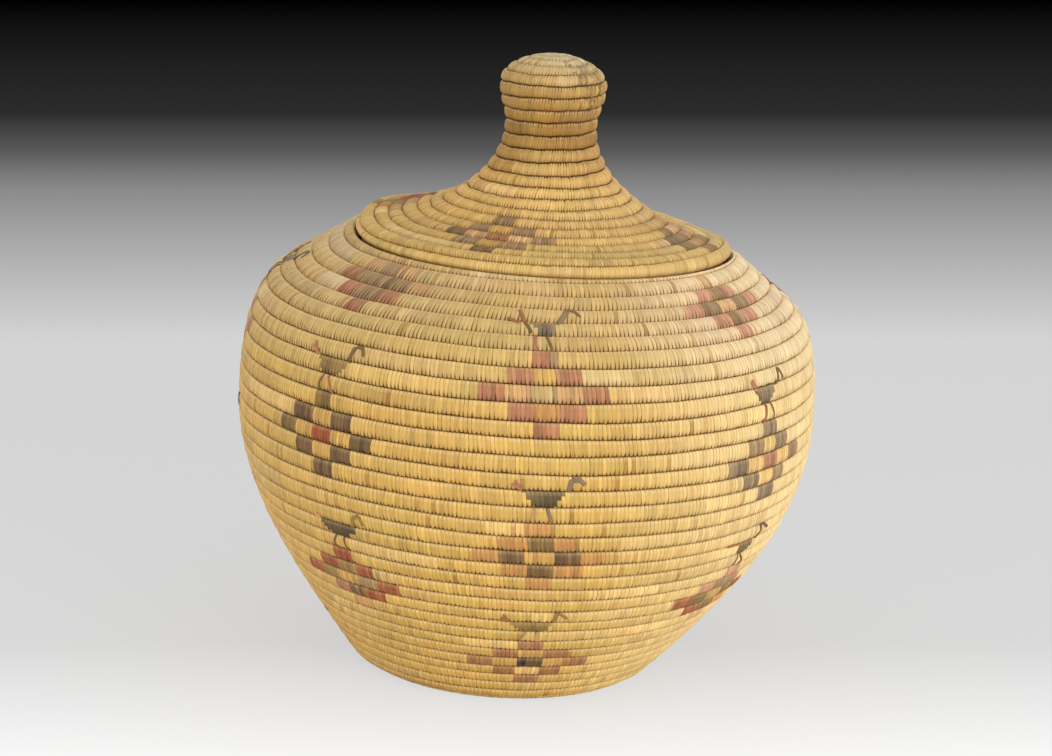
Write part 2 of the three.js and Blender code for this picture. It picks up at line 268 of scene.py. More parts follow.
# Birds: coil of the back, direction of its middle in degrees, half its width at the top and at
# the bottom and how far the bottom stands aside in mm, and its dye. Then the single strands,
# each with its dye, width in mm, and points as mm aside and coils up.
FRONT_BIRDS = (
    (28, -87.2, 6.8, 3.1, -0.6, "w", (
        ("w", 2.6, ((5.6, 0.85), (7.4, 1.61), (7.8, 1.85))),
        ("d", 1.3, ((7.6, 1.8), (9.6, 1.87), (11.5, 1.72), (14.1, 1.34))),
        ("d", 1.4, ((-5.6, 0.1), (-9.2, 0.9))),
        ("b", 1.6, ((-8.6, 0.75), (-9.8, 1.05), (-12.4, 1.8))),
        ("b", 1.4, ((-16.7, 1.13), (-11.2, 0.76))),
        ("r", 1.5, ((-4.1, 0.02), (-3.7, -1.0))), ("d", 1.1, ((0.5, 0.02), (3.7, -1.02))))),
    (18, -85.5, 10.0, 3.2, -0.6, "m", (
        ("w", 2.2, ((9.5, 1.0), (10.9, 1.8))),
        ("w", 1.9, ((10.8, 1.87), (13.4, 1.83), (16.9, 1.42))),
        ("w", 1.5, ((10.8, 1.72), (14.0, 1.66))),
        ("r", 1.3, ((-9.8, 1.0), (-14.6, 1.46))), ("r", 1.3, ((-10.0, 1.02), (-13.4, 1.66))),
        ("i", 1.0, ((-4.1, 0.02), (-5.2, -0.88))), ("w", 1.7, ((1.2, 0.02), (3.5, -0.92))))),
    (8, -84.9, 9.8, 3.7, 0.4, "v", (
        ("v", 2.0, ((9.3, 1.05), (9.7, 1.98))),
        ("v", 1.4, ((10.0, 1.95), (12.6, 1.82), (15.1, 1.42))),
        ("b", 1.2, ((-9.7, 1.0), (-13.3, 1.76))), ("b", 2.1, ((-9.9, 1.05), (-14.7, 1.45))),
        ("i", 1.7, ((3.0, 0.05), (4.2, -0.92))), ("i", 1.1, ((-2.1, 0.02), (-3.3, -0.84))))),
)
LEFT_BIRDS = (
    (24, -130.0, 9.7, 2.6, -1.1, "v", (
        ("d", 2.0, ((8.6, 0.98), (9.5, 1.58), (10.6, 1.86))),
        ("d", 1.7, ((10.4, 1.88), (14.0, 1.9), (15.7, 1.38))),
        ("o", 1.5, ((-9.4, 0.98), (-15.2, 1.42))), ("r", 1.5, ((-9.4, 1.0), (-13.4, 1.68))),
        ("d", 1.1, ((-3.2, 0.0), (-5.8, -0.5), (-5.6, -0.97))),
        ("b", 1.2, ((-1.1, 0.0), (0.6, -0.51), (2.9, -1.05))))),
    (14, -128.4, 10.3, 4.4, 1.0, "m", (
        ("v", 1.7, ((9.9, 0.98), (9.9, 1.55), (12.7, 1.89))),
        ("v", 1.8, ((12.4, 1.92), (13.9, 1.94), (15.9, 1.27))),
        ("q", 1.7, ((-9.7, 1.0), (-13.8, 1.38))),
        ("d", 1.1, ((-1.9, 0.02), (-4.0, -0.42), (-4.0, -0.9))),
        ("d", 1.1, ((2.5, 0.02), (2.4, -0.4), (4.0, -0.95))))),
)
RIGHT_BIRDS = (
    (23, -37.2, 8.0, 2.7, -1.3, "w", (
        ("d", 1.4, ((7.6, 0.95), (9.7, 1.3), (9.5, 1.84))),
        ("d", 1.2, ((9.3, 1.86), (11.0, 1.78), (14.3, 1.14))),
        ("r", 1.4, ((-8.4, 0.97), (-11.9, 1.52))), ("r", 1.4, ((-7.9, 0.98), (-10.8, 1.62))),
        ("d", 1.0, ((-9.2, 0.92), (-5.2, 0.36))),
        ("b", 1.5, ((-1.7, 0.0), (-1.7, -0.7), (-3.7, -1.04))),
        ("d", 0.9, ((2.1, 0.0), (4.6, -0.65), (4.6, -1.0))))),
    (13, -35.6, 6.5, 2.9, -0.7, "d", (
        ("d", 1.5, ((6.2, 0.98), (9.1, 1.54), (6.8, 2.06))),
        ("d", 1.6, ((6.5, 2.08), (8.6, 2.06), (15.3, 1.56))),
        ("b", 1.6, ((-6.2, 0.98), (-15.1, 1.08))),
        ("d", 1.1, ((-1.8, 0.02), (-1.4, -0.4), (-1.8, -0.86))),
        ("d", 1.1, ((-0.3, 0.02), (5.0, -0.66), (2.4, -0.94))))),
)

# Eight columns stand round the body: rows, birds, and the degrees by which they are turned.
COLUMNS = (
    (FRONT_ROWS, FRONT_BIRDS, 0.0), (LEFT_ROWS, LEFT_BIRDS, 0.0), (RIGHT_ROWS, RIGHT_BIRDS, 0.0),
    (FRONT_ROWS, FRONT_BIRDS, -91.0), (LEFT_ROWS, LEFT_BIRDS, -92.0),
    (FRONT_ROWS, FRONT_BIRDS, 96.0), (RIGHT_ROWS, RIGHT_BIRDS, 90.0),
    (FRONT_ROWS, FRONT_BIRDS, 178.0),
)
LID_COLUMNS = ((LID_ROWS, 0.0), (LID_RIGHT_ROWS, 0.0), (LID_BACK_ROWS, 0.0), (LID_ROWS, 182.0))

# Seam-shade layer of strands that get no painted shade in seams and slits of their own.
UNSHADED_SEAM = (0.0, 0.01, 0.0, 0.0)

# How strongly marks show on the straw: green and stained patches, the painted highlight at the
# upper end of natural and of dyed stitches, and the painted shade at their lower end, in the
# furrows, and in the seams and slits.
GREEN_SHOWS, STAIN_SHOWS = 0.3, 0.2
PAINTED_HIGHLIGHT, DYED_PAINTED_HIGHLIGHT = 0.36, 0.14
PAINTED_FOOT_SHADE, PAINTED_FURROW_SHADE, PAINTED_SEAM_SHADE = 0.14, 0.26, 0.85

# How far the camera stands aside of and above the line to its aim.
CAMERA_ASIDE, CAMERA_UP = -0.75 * MM, -19.32 * MM
# Lamps: name, place, width and the setting of its power. Then the point that they face.
LAMPS = (("large_lamp", (1.25, -1.6, 0.62), 1.1, "lamp"),
         ("small_lamp", (-1.3, -1.1, 0.6), 1.0, "fill"))
LAMP_AIM = (0, 0, 0.14)
FLOOR_RADIUS = 8.0

# The backdrop's greys, from the bottom of the picture at 0 to its top at 1.
BACKDROP_GREYS = (
    (0.0, 250), (0.15, 220), (0.55, 215), (0.75, 140), (0.8, 90), (0.85, 45), (1.0, 0),
)
# Height and width of the picture, and the width of the camera's film in mm.
PICTURE = (756, 1052)
FILM_WIDTH = 36.0


# Sizes and colours that a user would change.


def tone(red, green, blue):
    """A colour written as 0 to 255, as the light that Blender works in."""
    shares = (channel / 255 for channel in (red, green, blue))
    return tuple(s / 12.92 if s <= 0.04045 else ((s + 0.055) / 1.055) ** 2.4 for s in shares)


def size(name, description, default):
    """A length in the panel."""
    return FloatProperty(name=name, description=description, default=default,
                         min=0.0, precision=4, unit="LENGTH")


def share(name, description, default, top=1.0):
    """A plain number in the panel."""
    return FloatProperty(name=name, description=description, default=default, min=0.0, max=top)


def dye(name, description, *default):
    """A colour in the panel."""
    return FloatVectorProperty(name=name, description=description, default=tone(*default),
                               subtype="COLOR", size=3, min=0.0, max=1.0)


class BasketForm(bpy.types.PropertyGroup):
    """Outside of the body and the lid, measured at the seams."""

    base_radius: size("Base radius", "Radius of the foot", 0.0689)
    foot_round: size("Foot round", "Length over which the floor turns up", 0.005)
    belly_radius: size("Belly radius", "Largest radius of the body", 0.1338)
    belly_height: size("Belly height", "Height of the largest radius", 0.1253)
    shoulder_radius: size("Shoulder radius", "Radius where the shoulder runs straight", 0.116)
    shoulder_height: size("Shoulder height", "Height where the shoulder runs straight", 0.1827)
    mouth_radius: size("Mouth radius", "Radius of the mouth", 0.0883)
    mouth_height: size("Mouth height", "Height of the mouth", 0.2018)
    neck_radius: size("Neck radius", "Narrowest radius under the knob", 0.0202)
    neck_rise: size("Neck rise", "Height of the neck above the mouth", 0.0537)
    knob_radius: size("Knob radius", "Largest radius of the knob", 0.0235)
    knob_rise: size("Knob rise", "Height of the knob's middle above the neck", 0.0191)
    dome_rise: size("Dome rise", "Height of the knob's dome", 0.013)
    brim_turn_width: size("Brim turn width", "Width of the lid's turned edge", 0.0036)
    brim_turn_drop: size("Brim turn drop", "Drop of the lid's turned edge", 0.0052)
    foot_sway: size("Foot sway", "How far the foot stands to the left", 0.0052)
    mouth_sway: size("Mouth sway", "How far the mouth and lid stand to the right", 0.0034)
    hump: size("Hump", "How far the shoulder and lid rise and dip at the back", 0.003)


class CoilWork(bpy.types.PropertyGroup):
    """The coils and the stitches that sew them."""

    foot_pitch: size("Foot pitch", "Height of one coil at the foot", 0.00682)
    wall_growth: share("Wall growth", "Share by which the wall's coils grow in a turn", 0.00448)
    knob_pitch: size("Knob pitch", "Height of one coil at the knob", 0.00536)
    lid_growth: share("Lid growth", "Share by which the lid's coils grow in a turn", 0.01237)
    body_thickness: size("Body thickness", "Thickness of the body's wall at its seams", 0.0065)
    lid_thickness: size("Lid thickness", "Thickness of the lid's wall at its seams", 0.006)
    flange_thickness: size("Flange thickness", "Thickness of the collar under the lid", 0.0054)
    flange_pitch: size("Flange pitch", "Height of one coil of the collar under the lid", 0.0064)
    rib_height: size("Rib height", "How far a coil stands out between its seams", 0.0011)
    ledge_radius: size("Ledge radius", "Radius of the coil that the lid rests on", 0.0033)
    stitch_width: size("Stitch width", "Width of one stitch", 0.00185)
    lid_stitch_width: size("Lid stitch width", "Width of one stitch of the lid", 0.0013)
    stitch_relief: size("Stitch relief", "Depth of the furrow between two stitches", 0.00009)
    slit_depth: size("Slit depth", "Depth of the slit at the lower end of a stitch", 0.0009)
    wobble: size("Wobble", "How far a seam strays from its true line", 0.0004)
    seed: IntProperty(name="Seed", description="Changes the run of the strands", default=7)


class StrandColours(bpy.types.PropertyGroup):
    """Natural and dyed grass."""

    cream: dye("Cream straw", "Palest strands", 248, 218, 156)
    straw: dye("Straw", "Most of the strands", 216, 177, 95)
    ochre: dye("Ochre straw", "Yellower strands", 212, 166, 80)
    olive: dye("Olive straw", "Strands cut green", 200, 172, 88)
    rose: dye("Rose straw", "Strands stained by the dye beside them", 218, 170, 108)
    tan: dye("Tan straw", "Darkest natural strands", 186, 138, 74)
    # The next two colours are painted shade in the gaps of the seams and slits, darker between
    # dyed strands.
    seam: dye("Seam", "Depth of the seams and slits", 100, 62, 18)
    dyed_seam_shade: dye("Dyed seam", "Depth of the seams and slits between dyed strands", 52, 28, 14)
    red: dye("Red", "Faded red dye", 170, 111, 78)
    grey: dye("Grey", "Faded grey green dye", 153, 121, 83)
    pale_grey: dye("Pale grey", "Palest grey", 178, 150, 98)
    slate: dye("Slate", "Faded slate dye", 130, 108, 82)
    dark: dye("Dark", "Dark slate dye", 117, 90, 48)
    deep: dye("Deep", "Deepest slate dye", 96, 68, 42)
    near_black: dye("Near black", "Darkest dye", 44, 28, 26)
    orange: dye("Orange", "Orange dye", 190, 133, 73)
    pale_orange: dye("Pale orange", "Faded orange dye", 212, 155, 95)
    gold: dye("Gold", "Golden dye", 202, 156, 79)
    pale_gold: dye("Pale gold", "Palest gold", 195, 150, 97)
    brown: dye("Brown", "Red brown dye", 158, 101, 63)
    cream_gold: dye("Cream gold", "Faintest gold", 224, 180, 110)
    rose_red: dye("Rose red", "Red bleached by the light", 197, 138, 104)
    pink: dye("Pink", "Washed out red", 191, 147, 98)
    pale_rose: dye("Pale rose", "Faintest red", 214, 170, 116)
    rust: dye("Rust", "Strongest red", 153, 67, 37)
    black_olive: dye("Black olive", "Darkest olive dye", 88, 72, 44)
    olive_dye: dye("Olive dye", "Olive green dye", 150, 116, 58)


class StageSettings(bpy.types.PropertyGroup):
    """Camera, lamps, floor and backdrop."""

    distance: size("Distance", "From the camera to the point it is set on", 1.2194)
    aim_height: size("Aim height", "Height of the point that the camera is set on", 0.15477)
    elevation: FloatProperty(name="Elevation", description="Angle of the camera above the level",
                             default=math.radians(13.93), subtype="ANGLE")
    roll: FloatProperty(name="Roll", description="Lean of the picture",
                        default=math.radians(3.6), subtype="ANGLE")
    lens: FloatProperty(name="Lens", description="Focal length in mm", default=88.97, min=1.0)
    lamp: FloatProperty(name="Lamp", description="Power of the large lamp", default=17.5,
                        min=0.0, unit="POWER")
    fill: FloatProperty(name="Fill", description="Power of the small lamp", default=5.0,
                        min=0.0, unit="POWER")
    air: share("Air", "Strength of the light from all round", 0.78, 2.0)
    floor: dye("Floor", "Colour of the floor by the basket", 245, 245, 245)
    backdrop: dye("Backdrop", "Colour of the air far away", 6, 6, 6)
    glow: share("Glow", "Share of the backdrop that shows without the lamps", 0.78)


def settings():
    """The settings in the scene."""
    scene = bpy.context.scene
    return scene.basket_form, scene.basket_work, scene.basket_colours, scene.basket_stage


# Outlines and coils.


def bezier(points, count=400):
    """Points along a curve that the given points pull."""
    t = np.linspace(0, 1, count)[:, None]
    layers = [np.array(point, float)[None] for point in points]
    while len(layers) > 1:
        layers = [a * (1 - t) + b * t for a, b in zip(layers, layers[1:])]
    return layers[0]


def running(steps):
    """Running total of steps, from 0."""
    return np.concatenate([[0.0], np.cumsum(steps)])


def columns_at(place, places, table):
    """Each column of a table, read between its places."""
    return [np.interp(place, places, column) for column in table.T]


def waves_at(waves, turns):
    """Height of a sum of waves at turns along a coil."""
    return sum(strength * np.sin(2 * math.pi * number * turns + phase)
               for strength, number, phase in waves)


def smooth_step(value, low, high):
    """0 below low, 1 above high, and smooth between."""
    t = np.clip((value - low) / (high - low), 0, 1)
    return t * t * (3 - 2 * t)


class Outline:
    """The outside of a form, as radius and height along its length."""

    def __init__(self, runs, side):
        self.points = np.concatenate([runs[0]] + [run[1:] for run in runs[1:]])
        self.along = running(np.hypot(*np.diff(self.points, axis=0).T))
        way = np.gradient(self.points, self.along, axis=0)
        self.way = way / np.linalg.norm(way, axis=1)[:, None]
        self.side = side
        self.length = self.along[-1]

    def section(self, length, out):
        """Radius and height at a length, moved out of the shell by out."""
        radius, height = columns_at(length, self.along, self.points)
        across, up = columns_at(length, self.along, self.way)
        return radius + self.side * up * out, height - self.side * across * out


def body_outline(form, work):
    """From the middle of the floor, over foot, flank, belly and shoulder, to the mouth."""
    low = work.rib_height - FLOOR_SINK
    turn = form.base_radius - form.foot_round
    rise = np.linspace((low + form.foot_round) / form.belly_height, 1, 800)
    swell = np.sin(rise * math.pi / 2)
    flank = np.stack([form.base_radius + (form.belly_radius - form.base_radius) * swell,
                      rise * form.belly_height], 1)
    shoulder = (form.shoulder_radius, form.shoulder_height)
    mouth = (form.mouth_radius, form.mouth_height)
    climb = form.shoulder_height - form.belly_height
    floor = bezier([(0, low), (turn, low)])
    corner = bezier([(turn, low), (form.base_radius, low), flank[0]])
    upper = bezier([
        (form.belly_radius, form.belly_height),
        (form.belly_radius, form.belly_height + SHOULDER_PULLS[0] * climb),
        tuple(s + SHOULDER_PULLS[1] * (s - m) for s, m in zip(shoulder, mouth)),
        shoulder,
    ])
    corner_length = np.hypot(*np.diff(corner, axis=0).T).sum()
    runs = [floor, corner, flank, upper, bezier([shoulder, mouth])]
    return Outline(runs, 1), turn + corner_length / 2


def lid_outline(form):
    """From the top of the knob, over its side and neck, down the flare to the brim's edge."""
    edge = (form.mouth_radius - BRIM_INSET, form.mouth_height + BRIM_RISE)
    turn = (edge[0] - form.brim_turn_width, edge[1] + form.brim_turn_drop)
    knob, slim = form.knob_radius, form.neck_radius
    neck = form.mouth_height + form.neck_rise
    middle = neck + form.knob_rise
    top = middle + form.dome_rise
    drop, reach = neck - turn[1], turn[0] - slim
    dome = bezier([(0, top), (DOME_PULLS[0] * knob, top),
                   (knob, middle + DOME_PULLS[1] * form.dome_rise), (knob, middle)])
    waist = bezier([(knob, middle), (knob, middle - WAIST_PULLS[0] * form.knob_rise),
                    (slim, neck + WAIST_PULLS[1] * form.knob_rise), (slim, neck)])
    flare = bezier([(slim, neck), (slim, neck - FLARE_PULLS[0] * drop),
                    (slim + FLARE_PULLS[1] * reach, turn[1] + FLARE_PULLS[2] * drop), turn])
    return Outline([dome, waist, flare, bezier([turn, edge])], -1)


class Coil:
    """A coil laid along an outline. Its turns are counted along it."""

    def __init__(self, side, outline, zero, pitch, growth, thickness, stitch, sway, hump):
        self.side, self.spin, self.start = side, side.spin, side.start
        self.outline, self.length = outline, outline.length
        self.zero, self.pitch, self.growth = zero, pitch, growth
        self.thickness, self.stitch, self.sway, self.hump = thickness, stitch, sway, hump

    def length_at(self, turn):
        """Length along the outline at a turn."""
        run = np.expm1(self.growth * turn) / self.growth if self.growth else turn
        return np.clip(self.zero + self.pitch * run, 0, self.length)

    def turn_at(self, length):
        """Turn at a length along the outline."""
        run = (length - self.zero) / self.pitch
        return np.log1p(self.growth * run) / self.growth if self.growth else run

    def turn_of(self, degrees, number):
        """Turn at a direction, on a coil counted from the foot or the knob."""
        return (degrees - math.degrees(self.start)) / 360 * self.spin + number

    def share_at(self, turns):
        """Turns as a share of all the coil's turns."""
        return turns / self.turn_at(self.length)

    def work_at(self, turns):
        """The numbers of the side's table of work at turns along the coil."""
        return columns_at(self.share_at(turns), self.side.work[:, 0], self.side.work[:, 1:])

    def radius_at(self, turns):
        """Radius at the back of the coil."""
        middle = (self.length_at(turns) + self.length_at(turns + 1)) / 2
        return np.maximum(self.outline.section(middle, 0)[0], LEAST_RADIUS)

    def seam_at(self, turn, wobble):
        """Length at a turn, with the small wandering of work done by hand."""
        length = self.length_at(turn)
        calm = np.clip(np.minimum(length, self.length - length) / CALM_LENGTH, 0, 1)
        return length + calm * wobble * waves_at(SEAM_WAVES, turn)

    def lean_at(self, turns):
        """How far the stitches lean aside, as a share of their length."""
        leftward = np.clip(-np.cos(self.start + 2 * math.pi * turns), 0, 1)
        return (waves_at(LEAN_WAVES, turns) - STITCH_LEAN * self.spin
                + self.side.leftward_lean * leftward)

    def place(self, length, out, turn, aside=0.0):
        """Points of the work at lengths along the outline and turns along the coil."""
        radius, height = self.outline.section(length, out)
        height = np.maximum(height, 0.0)
        angle = self.start + self.spin * (2 * math.pi * turn + aside / np.maximum(radius, MM))
        return np.stack([radius * np.cos(angle) + self.sway(height), radius * np.sin(angle),
                         height + hump_at(angle) * self.hump(radius, height)], -1)


def hump_at(angle):
    """Height of the humps in a direction, as a share."""
    height = 0.0
    for middle, reach, top in HUMPS:
        away = (np.degrees(angle) - middle + 180) % 360 - 180
        height = height + top * np.cos(np.clip(np.abs(away) / reach, 0, 1) * math.pi / 2) ** 2
    return height


def body_coil(form, work):
    """The coil of floor and wall."""
    outline, zero = body_outline(form, work)
    low = form.mouth_height - MOUTH_SWAY_DROP

    def sway(height):
        foot = np.maximum(0, 1 - height / FOOT_SWAY_TOP)
        return (form.mouth_sway * smooth_step(height, low, form.mouth_height)
                - form.foot_sway * foot * foot)

    def hump(radius, height):
        return form.hump * smooth_step(height, *HUMP_HEIGHTS)

    return Coil(BODY, outline, zero, work.foot_pitch, work.wall_growth, work.body_thickness,
                work.stitch_width, sway, hump)


def lid_coil(form, work):
    """The coil of knob, neck and lid."""

    def sway(height):
        return form.mouth_sway

    def hump(radius, height):
        return form.hump * smooth_step(radius, *HUMP_RADII)

    return Coil(LID, lid_outline(form), KNOB_ZERO, work.knob_pitch, work.lid_growth,
                work.lid_thickness, work.lid_stitch_width, sway, hump)


def seat_of(body, lid, work):
    """Middle of the ledge coil's section, which touches the mouth's and the brim's corners."""
    mouth, brim = (np.array(coil.outline.section(coil.length, -coil.thickness))
                   for coil in (body, lid))
    between = mouth - brim
    reach = work.ledge_radius + SEAT_ROOM
    drop = math.sqrt(reach ** 2 - between @ between / 4)
    aside = np.array([between[1], -between[0]])
    return (mouth + brim) / 2 + aside * drop / np.linalg.norm(aside)


def flange_coil(lid, seat, work):
    """The coil of the collar under the lid."""
    radius = seat[0] - work.ledge_radius - FLANGE_ROOM - work.rib_height
    lengths = np.linspace(0.6 * lid.length, lid.length, 4000)
    inner, height = lid.outline.section(lengths, -lid.thickness)
    top = np.interp(radius, inner, height) - SEAT_ROOM
    wall = bezier([(radius, top), (radius, top - 2 * work.flange_pitch)])
    return Coil(LID, Outline([wall], -1), 0.0, work.flange_pitch, 0.0, work.flange_thickness,
                work.lid_stitch_width, lid.sway, lid.hump)


# Stitches.


class Sewing:
    """Every stitch of a coil, from its start to its end, with its strand and its place."""

    def __init__(self, coil, work, colours, seed, begin=0.0):
        self.coil, self.work = coil, work
        first, last = coil.turn_at(begin) - 1, coil.turn_at(coil.length - COIL_END)
        turns = np.linspace(first, last, COUNTING_POINTS)
        radius = coil.radius_at(turns)
        run = 2 * math.pi * running((radius[1:] + radius[:-1]) / 2 * np.diff(turns))
        self.count = count = int(run[-1] / coil.stitch)
        self.bounds = np.interp(np.linspace(0, run[-1], count + 1), run, turns)
        self.middle = (self.bounds[1:] + self.bounds[:-1]) / 2
        self.radius = coil.radius_at(self.middle)
        self.rng = np.random.default_rng(seed)
        self.strand_colours(colours)
        self.blend = np.zeros((count, len(OUTER_ROWS) - 1))
        self.depth = np.zeros_like(self.blend)
        self.dyed = self.straw.copy()
        self.slit = self.rng.uniform(*SLIT_RANGE, count + 1) ** SLIT_POWER
        self.lift = self.rng.normal(0, LIFT_SPREAD, count)
        self.dip = self.rng.normal(0, DIP_SPREAD, count)
        self.lean = self.rng.normal(0, LEAN_SPREAD, 2 * count + 1)

    def strand_colours(self, colours):
        """One strand sews a run of stitches, then the next strand takes over."""
        rng, count, coil = self.rng, self.count, self.coil
        palette = np.array([colours.cream, colours.straw, colours.ochre, colours.olive,
                            colours.rose, colours.tan])
        runs = rng.integers(*STRAND_STITCHES, count // STRAND_STITCHES[0] + 2)
        strand = np.repeat(np.arange(len(runs)), runs)[:count]
        picks = palette[rng.choice(len(palette), len(runs), p=STRAW_ODDS)]
        mixed = STRAND_SHOWS * picks[strand] + (1 - STRAND_SHOWS) * np.array(colours.straw)
        # Cream that grows towards the right is a painted highlight on the side that faces the
        # large lamp.
        least, swing = coil.side.cream
        lamp_side = np.cos(coil.start + coil.spin * 2 * math.pi * self.middle)
        cream = np.clip(least + swing * lamp_side, 0, 1)[:, None]
        mixed += cream * (np.array(colours.cream) - mixed)
        # The tint mixes the straw's age with painted shade, darkest at the lid's neck.
        table = coil.side.age_and_shade_tint
        age_and_shade_tint = np.stack(columns_at(coil.share_at(self.middle), table[:, 0], table[:, 1:]), 1)
        age_and_shade_tint += CREAM_SPARED * cream * (1 - age_and_shade_tint)
        self.shade = (rng.normal(1, STRAND_SHADE, len(runs))[strand]
                      * rng.normal(1, STITCH_SHADE, count))
        self.straw = mixed * age_and_shade_tint * np.clip(self.shade, 0.5, 1.3)[:, None]
        odd = rng.random(count) < ODD_SHARE
        self.straw[odd] *= rng.uniform(*ODD_SHADES, (odd.sum(), 1)) * ODD_BROWN

    def aside(self, degrees, number):
        """How far each stitch stands to the right of a direction on one coil, in mm."""
        away = self.middle - self.coil.turn_of(degrees, number)
        return self.coil.spin * away * 2 * math.pi * self.radius / MM

    def fray(self, degrees, first, last, half):
        """Wears a patch of stitches between two coils: uneven and split, with wider slits that get
        more painted shade.
        """
        for number in range(first, last):
            here = np.flatnonzero(np.abs(self.aside(degrees, number)) < half)
            shades = self.rng.uniform(*FRAYED_SHADES, len(here))
            self.dyed[here] = self.straw[here] * shades[:, None]
            self.blend[here] = self.rng.uniform(*FRAYED_COVERS, (len(here), self.blend.shape[1]))
            self.slit[here] *= FRAYED_SLIT
            self.lift[here] *= FRAYED_LIFT

    def dye_row(self, row, dyes, turned=0.0):
        """Dyes the blocks of one row."""
        number, centre, block, letters = row
        place = np.floor(self.aside(centre + turned, number) / block + len(letters) / 2)
        for k, letter in enumerate(letters):
            here = np.flatnonzero(place == k)
            self.dyed[here] = dyes[letter] * self.rng.normal(1, DYE_SHADE, len(here))[:, None]
            self.blend[here] = self.rng.normal(*DYE_COVER, len(here)).clip(0.5, 1)[:, None]

    def dye_bird(self, bird, dyes, turned=0.0):
        """Dyes a bird's back: a boat one coil high, darker at its keel."""
        number, centre, top, bottom, shift, letter = bird[:6]
        aside = self.aside(centre + turned, number)
        rows = (OUTER_ROWS[1:] + OUTER_ROWS[:-1]) / 2
        ragged = self.rng.normal(0, BIRD_RAGGED, self.count)
        for k, across in enumerate(rows):
            half = bottom + (top - bottom) * across ** BIRD_POWER + ragged
            here = np.abs(aside - shift * (1 - across)) < half
            self.dyed[here] = dyes[letter] * self.shade[here, None] ** 2
            self.blend[here, k] = BIRD_COVER
            self.depth[here, k] = KEEL_SHADE * (1 - across)


def rib(rows, squareness):
    """Height of a rib from 0 at its two seams to 1 on its back."""
    return (1 - np.abs(2 * rows - 1) ** squareness) ** (1 / squareness)


def every_other(values, first, count):
    """Values at every other place of a line, with 0 between, as a column."""
    line = np.zeros(count)
    line[first::2] = values
    return line[:, None]


def slit_reach(from_seam, length):
    """How deep a slit is, at shares of a coil's height from the seam in which it starts."""
    reach = np.clip(1 - from_seam / length, 0, 1)
    return np.where(from_seam == 0, SLIT_IN_SEAM * reach, reach)


def stretch_points(sewing, begin, end):
    """Points of one stretch: a column in each furrow and on each stitch's crest, and the rows
    round the coil. The last row is the first one again."""
    coil, work = sewing.coil, sewing.work
    bounds = sewing.bounds[begin:end + 1]
    count = 2 * (end - begin) + 1
    turns = every_other(bounds, 0, count)
    turns[1::2, 0] = (bounds[1:] + bounds[:-1]) / 2
    furrow = every_other(1, 0, count)
    lift = every_other(sewing.lift[begin:end], 1, count)
    dip = every_other(sewing.dip[begin:end], 1, count)
    slit = every_other(sewing.slit[begin:end + 1], 0, count)
    low = coil.seam_at(turns, work.wobble)
    height = np.maximum(coil.seam_at(turns + 1, work.wobble) - low, 0)
    full = np.clip(height / (FULL_PITCH * coil.pitch), 0, 1)
    swell, seam_depth, squareness, _, slit_length, _, back = coil.work_at(turns)

    rim = (coil.length_at(turns + 1) >= coil.length) & (OUTER_ROWS > 0.5)
    depth = np.where(rim, coil.side.rim_depth, seam_depth * MM)
    crest = (work.rib_height * swell + depth) * rib(OUTER_ROWS, squareness) - depth
    cut = work.slit_depth * slit * (slit_reach(OUTER_ROWS, slit_length)
                                    + back * slit_reach(1 - OUTER_ROWS, slit_length))
    outside = crest - furrow * (work.stitch_relief + cut) + lift
    outside *= np.where(outside < 0, np.maximum(full, SEAM_FULLNESS), full)
    near = np.clip(1 - OUTER_ROWS / END_SHARE, 0, 1)
    length_out = low + OUTER_ROWS * height + (dip + END_TUCK) * near * full
    inside = (-coil.thickness + INNER_RIB * (1 - rib(INNER_ROWS, INNER_SQUARENESS))
              + furrow * work.stitch_relief)
    length_in = low + INNER_ROWS * height

    lengths = np.concatenate([length_out, length_in, length_out[:, :1]], 1)
    outs = np.concatenate([outside, inside, outside[:, :1]], 1)
    across = np.concatenate([OUTER_ROWS, INNER_ROWS, OUTER_ROWS[:1]])
    lean = sewing.lean[2 * begin:2 * end + 1, None] + coil.lean_at(turns)
    return coil.place(lengths, outs, turns, lean * (across - 0.5) * height), turns[:, 0]


# Meshes.


def mesh_of(work, name):
    """Turns a finished bmesh into a mesh."""
    mesh = bpy.data.meshes.new(name)
    work.to_mesh(mesh)
    work.free()
    return mesh


def grid_mesh(name, columns, rows):
    """A flat grid of faces, with the column and row of each point."""
    work = bmesh.new()
    bmesh.ops.create_grid(work, x_segments=columns, y_segments=rows, size=0.5)
    mesh = mesh_of(work, name)
    flat = np.empty(len(mesh.vertices) * 3, np.float32)
    mesh.vertices.foreach_get("co", flat)
    across, up = flat.reshape(-1, 3).T[:2] + 0.5
    return mesh, np.rint(across * columns).astype(int), np.rint(up * rows).astype(int)


def place_points(mesh, points):
    """Puts the points of a mesh in their places."""
    mesh.vertices.foreach_set("co", points.astype(np.float32).ravel())


def close_tube(mesh, row, last_row):
    """Sews the first and last rows of a rolled grid together and fills its two ends."""
    work = bmesh.new()
    work.from_mesh(mesh)
    edge_rows = np.flatnonzero((row == 0) | (row == last_row))
    work.verts.ensure_lookup_table()
    bmesh.ops.remove_doubles(work, verts=[work.verts[int(i)] for i in edge_rows], dist=1e-7)
    ends = [edge for edge in work.edges if edge.is_boundary]
    filled = bmesh.ops.holes_fill(work, edges=ends, sides=0)["faces"]
    uv = work.loops.layers.uv.active
    colours = list(work.loops.layers.float_color.values())
    for face in filled:
        for loop in face.loops:
            twin = next((other for other in loop.vert.link_loops if other.face is not face), None)
            if twin is not None:
                loop[uv].uv = twin[uv].uv
                for layer in colours:
                    loop[layer] = twin[layer]
    work.to_mesh(mesh)
    work.free()


def corners_of(mesh):
    """The point at each corner of the faces."""
    corner = np.empty(len(mesh.loops), np.int32)
    mesh.loops.foreach_get("vertex_index", corner)
    return corner


def first_of_face(values):
    """The least of the values at a face's four corners, for each corner."""
    return np.repeat(values.reshape(-1, 4).min(1), 4)


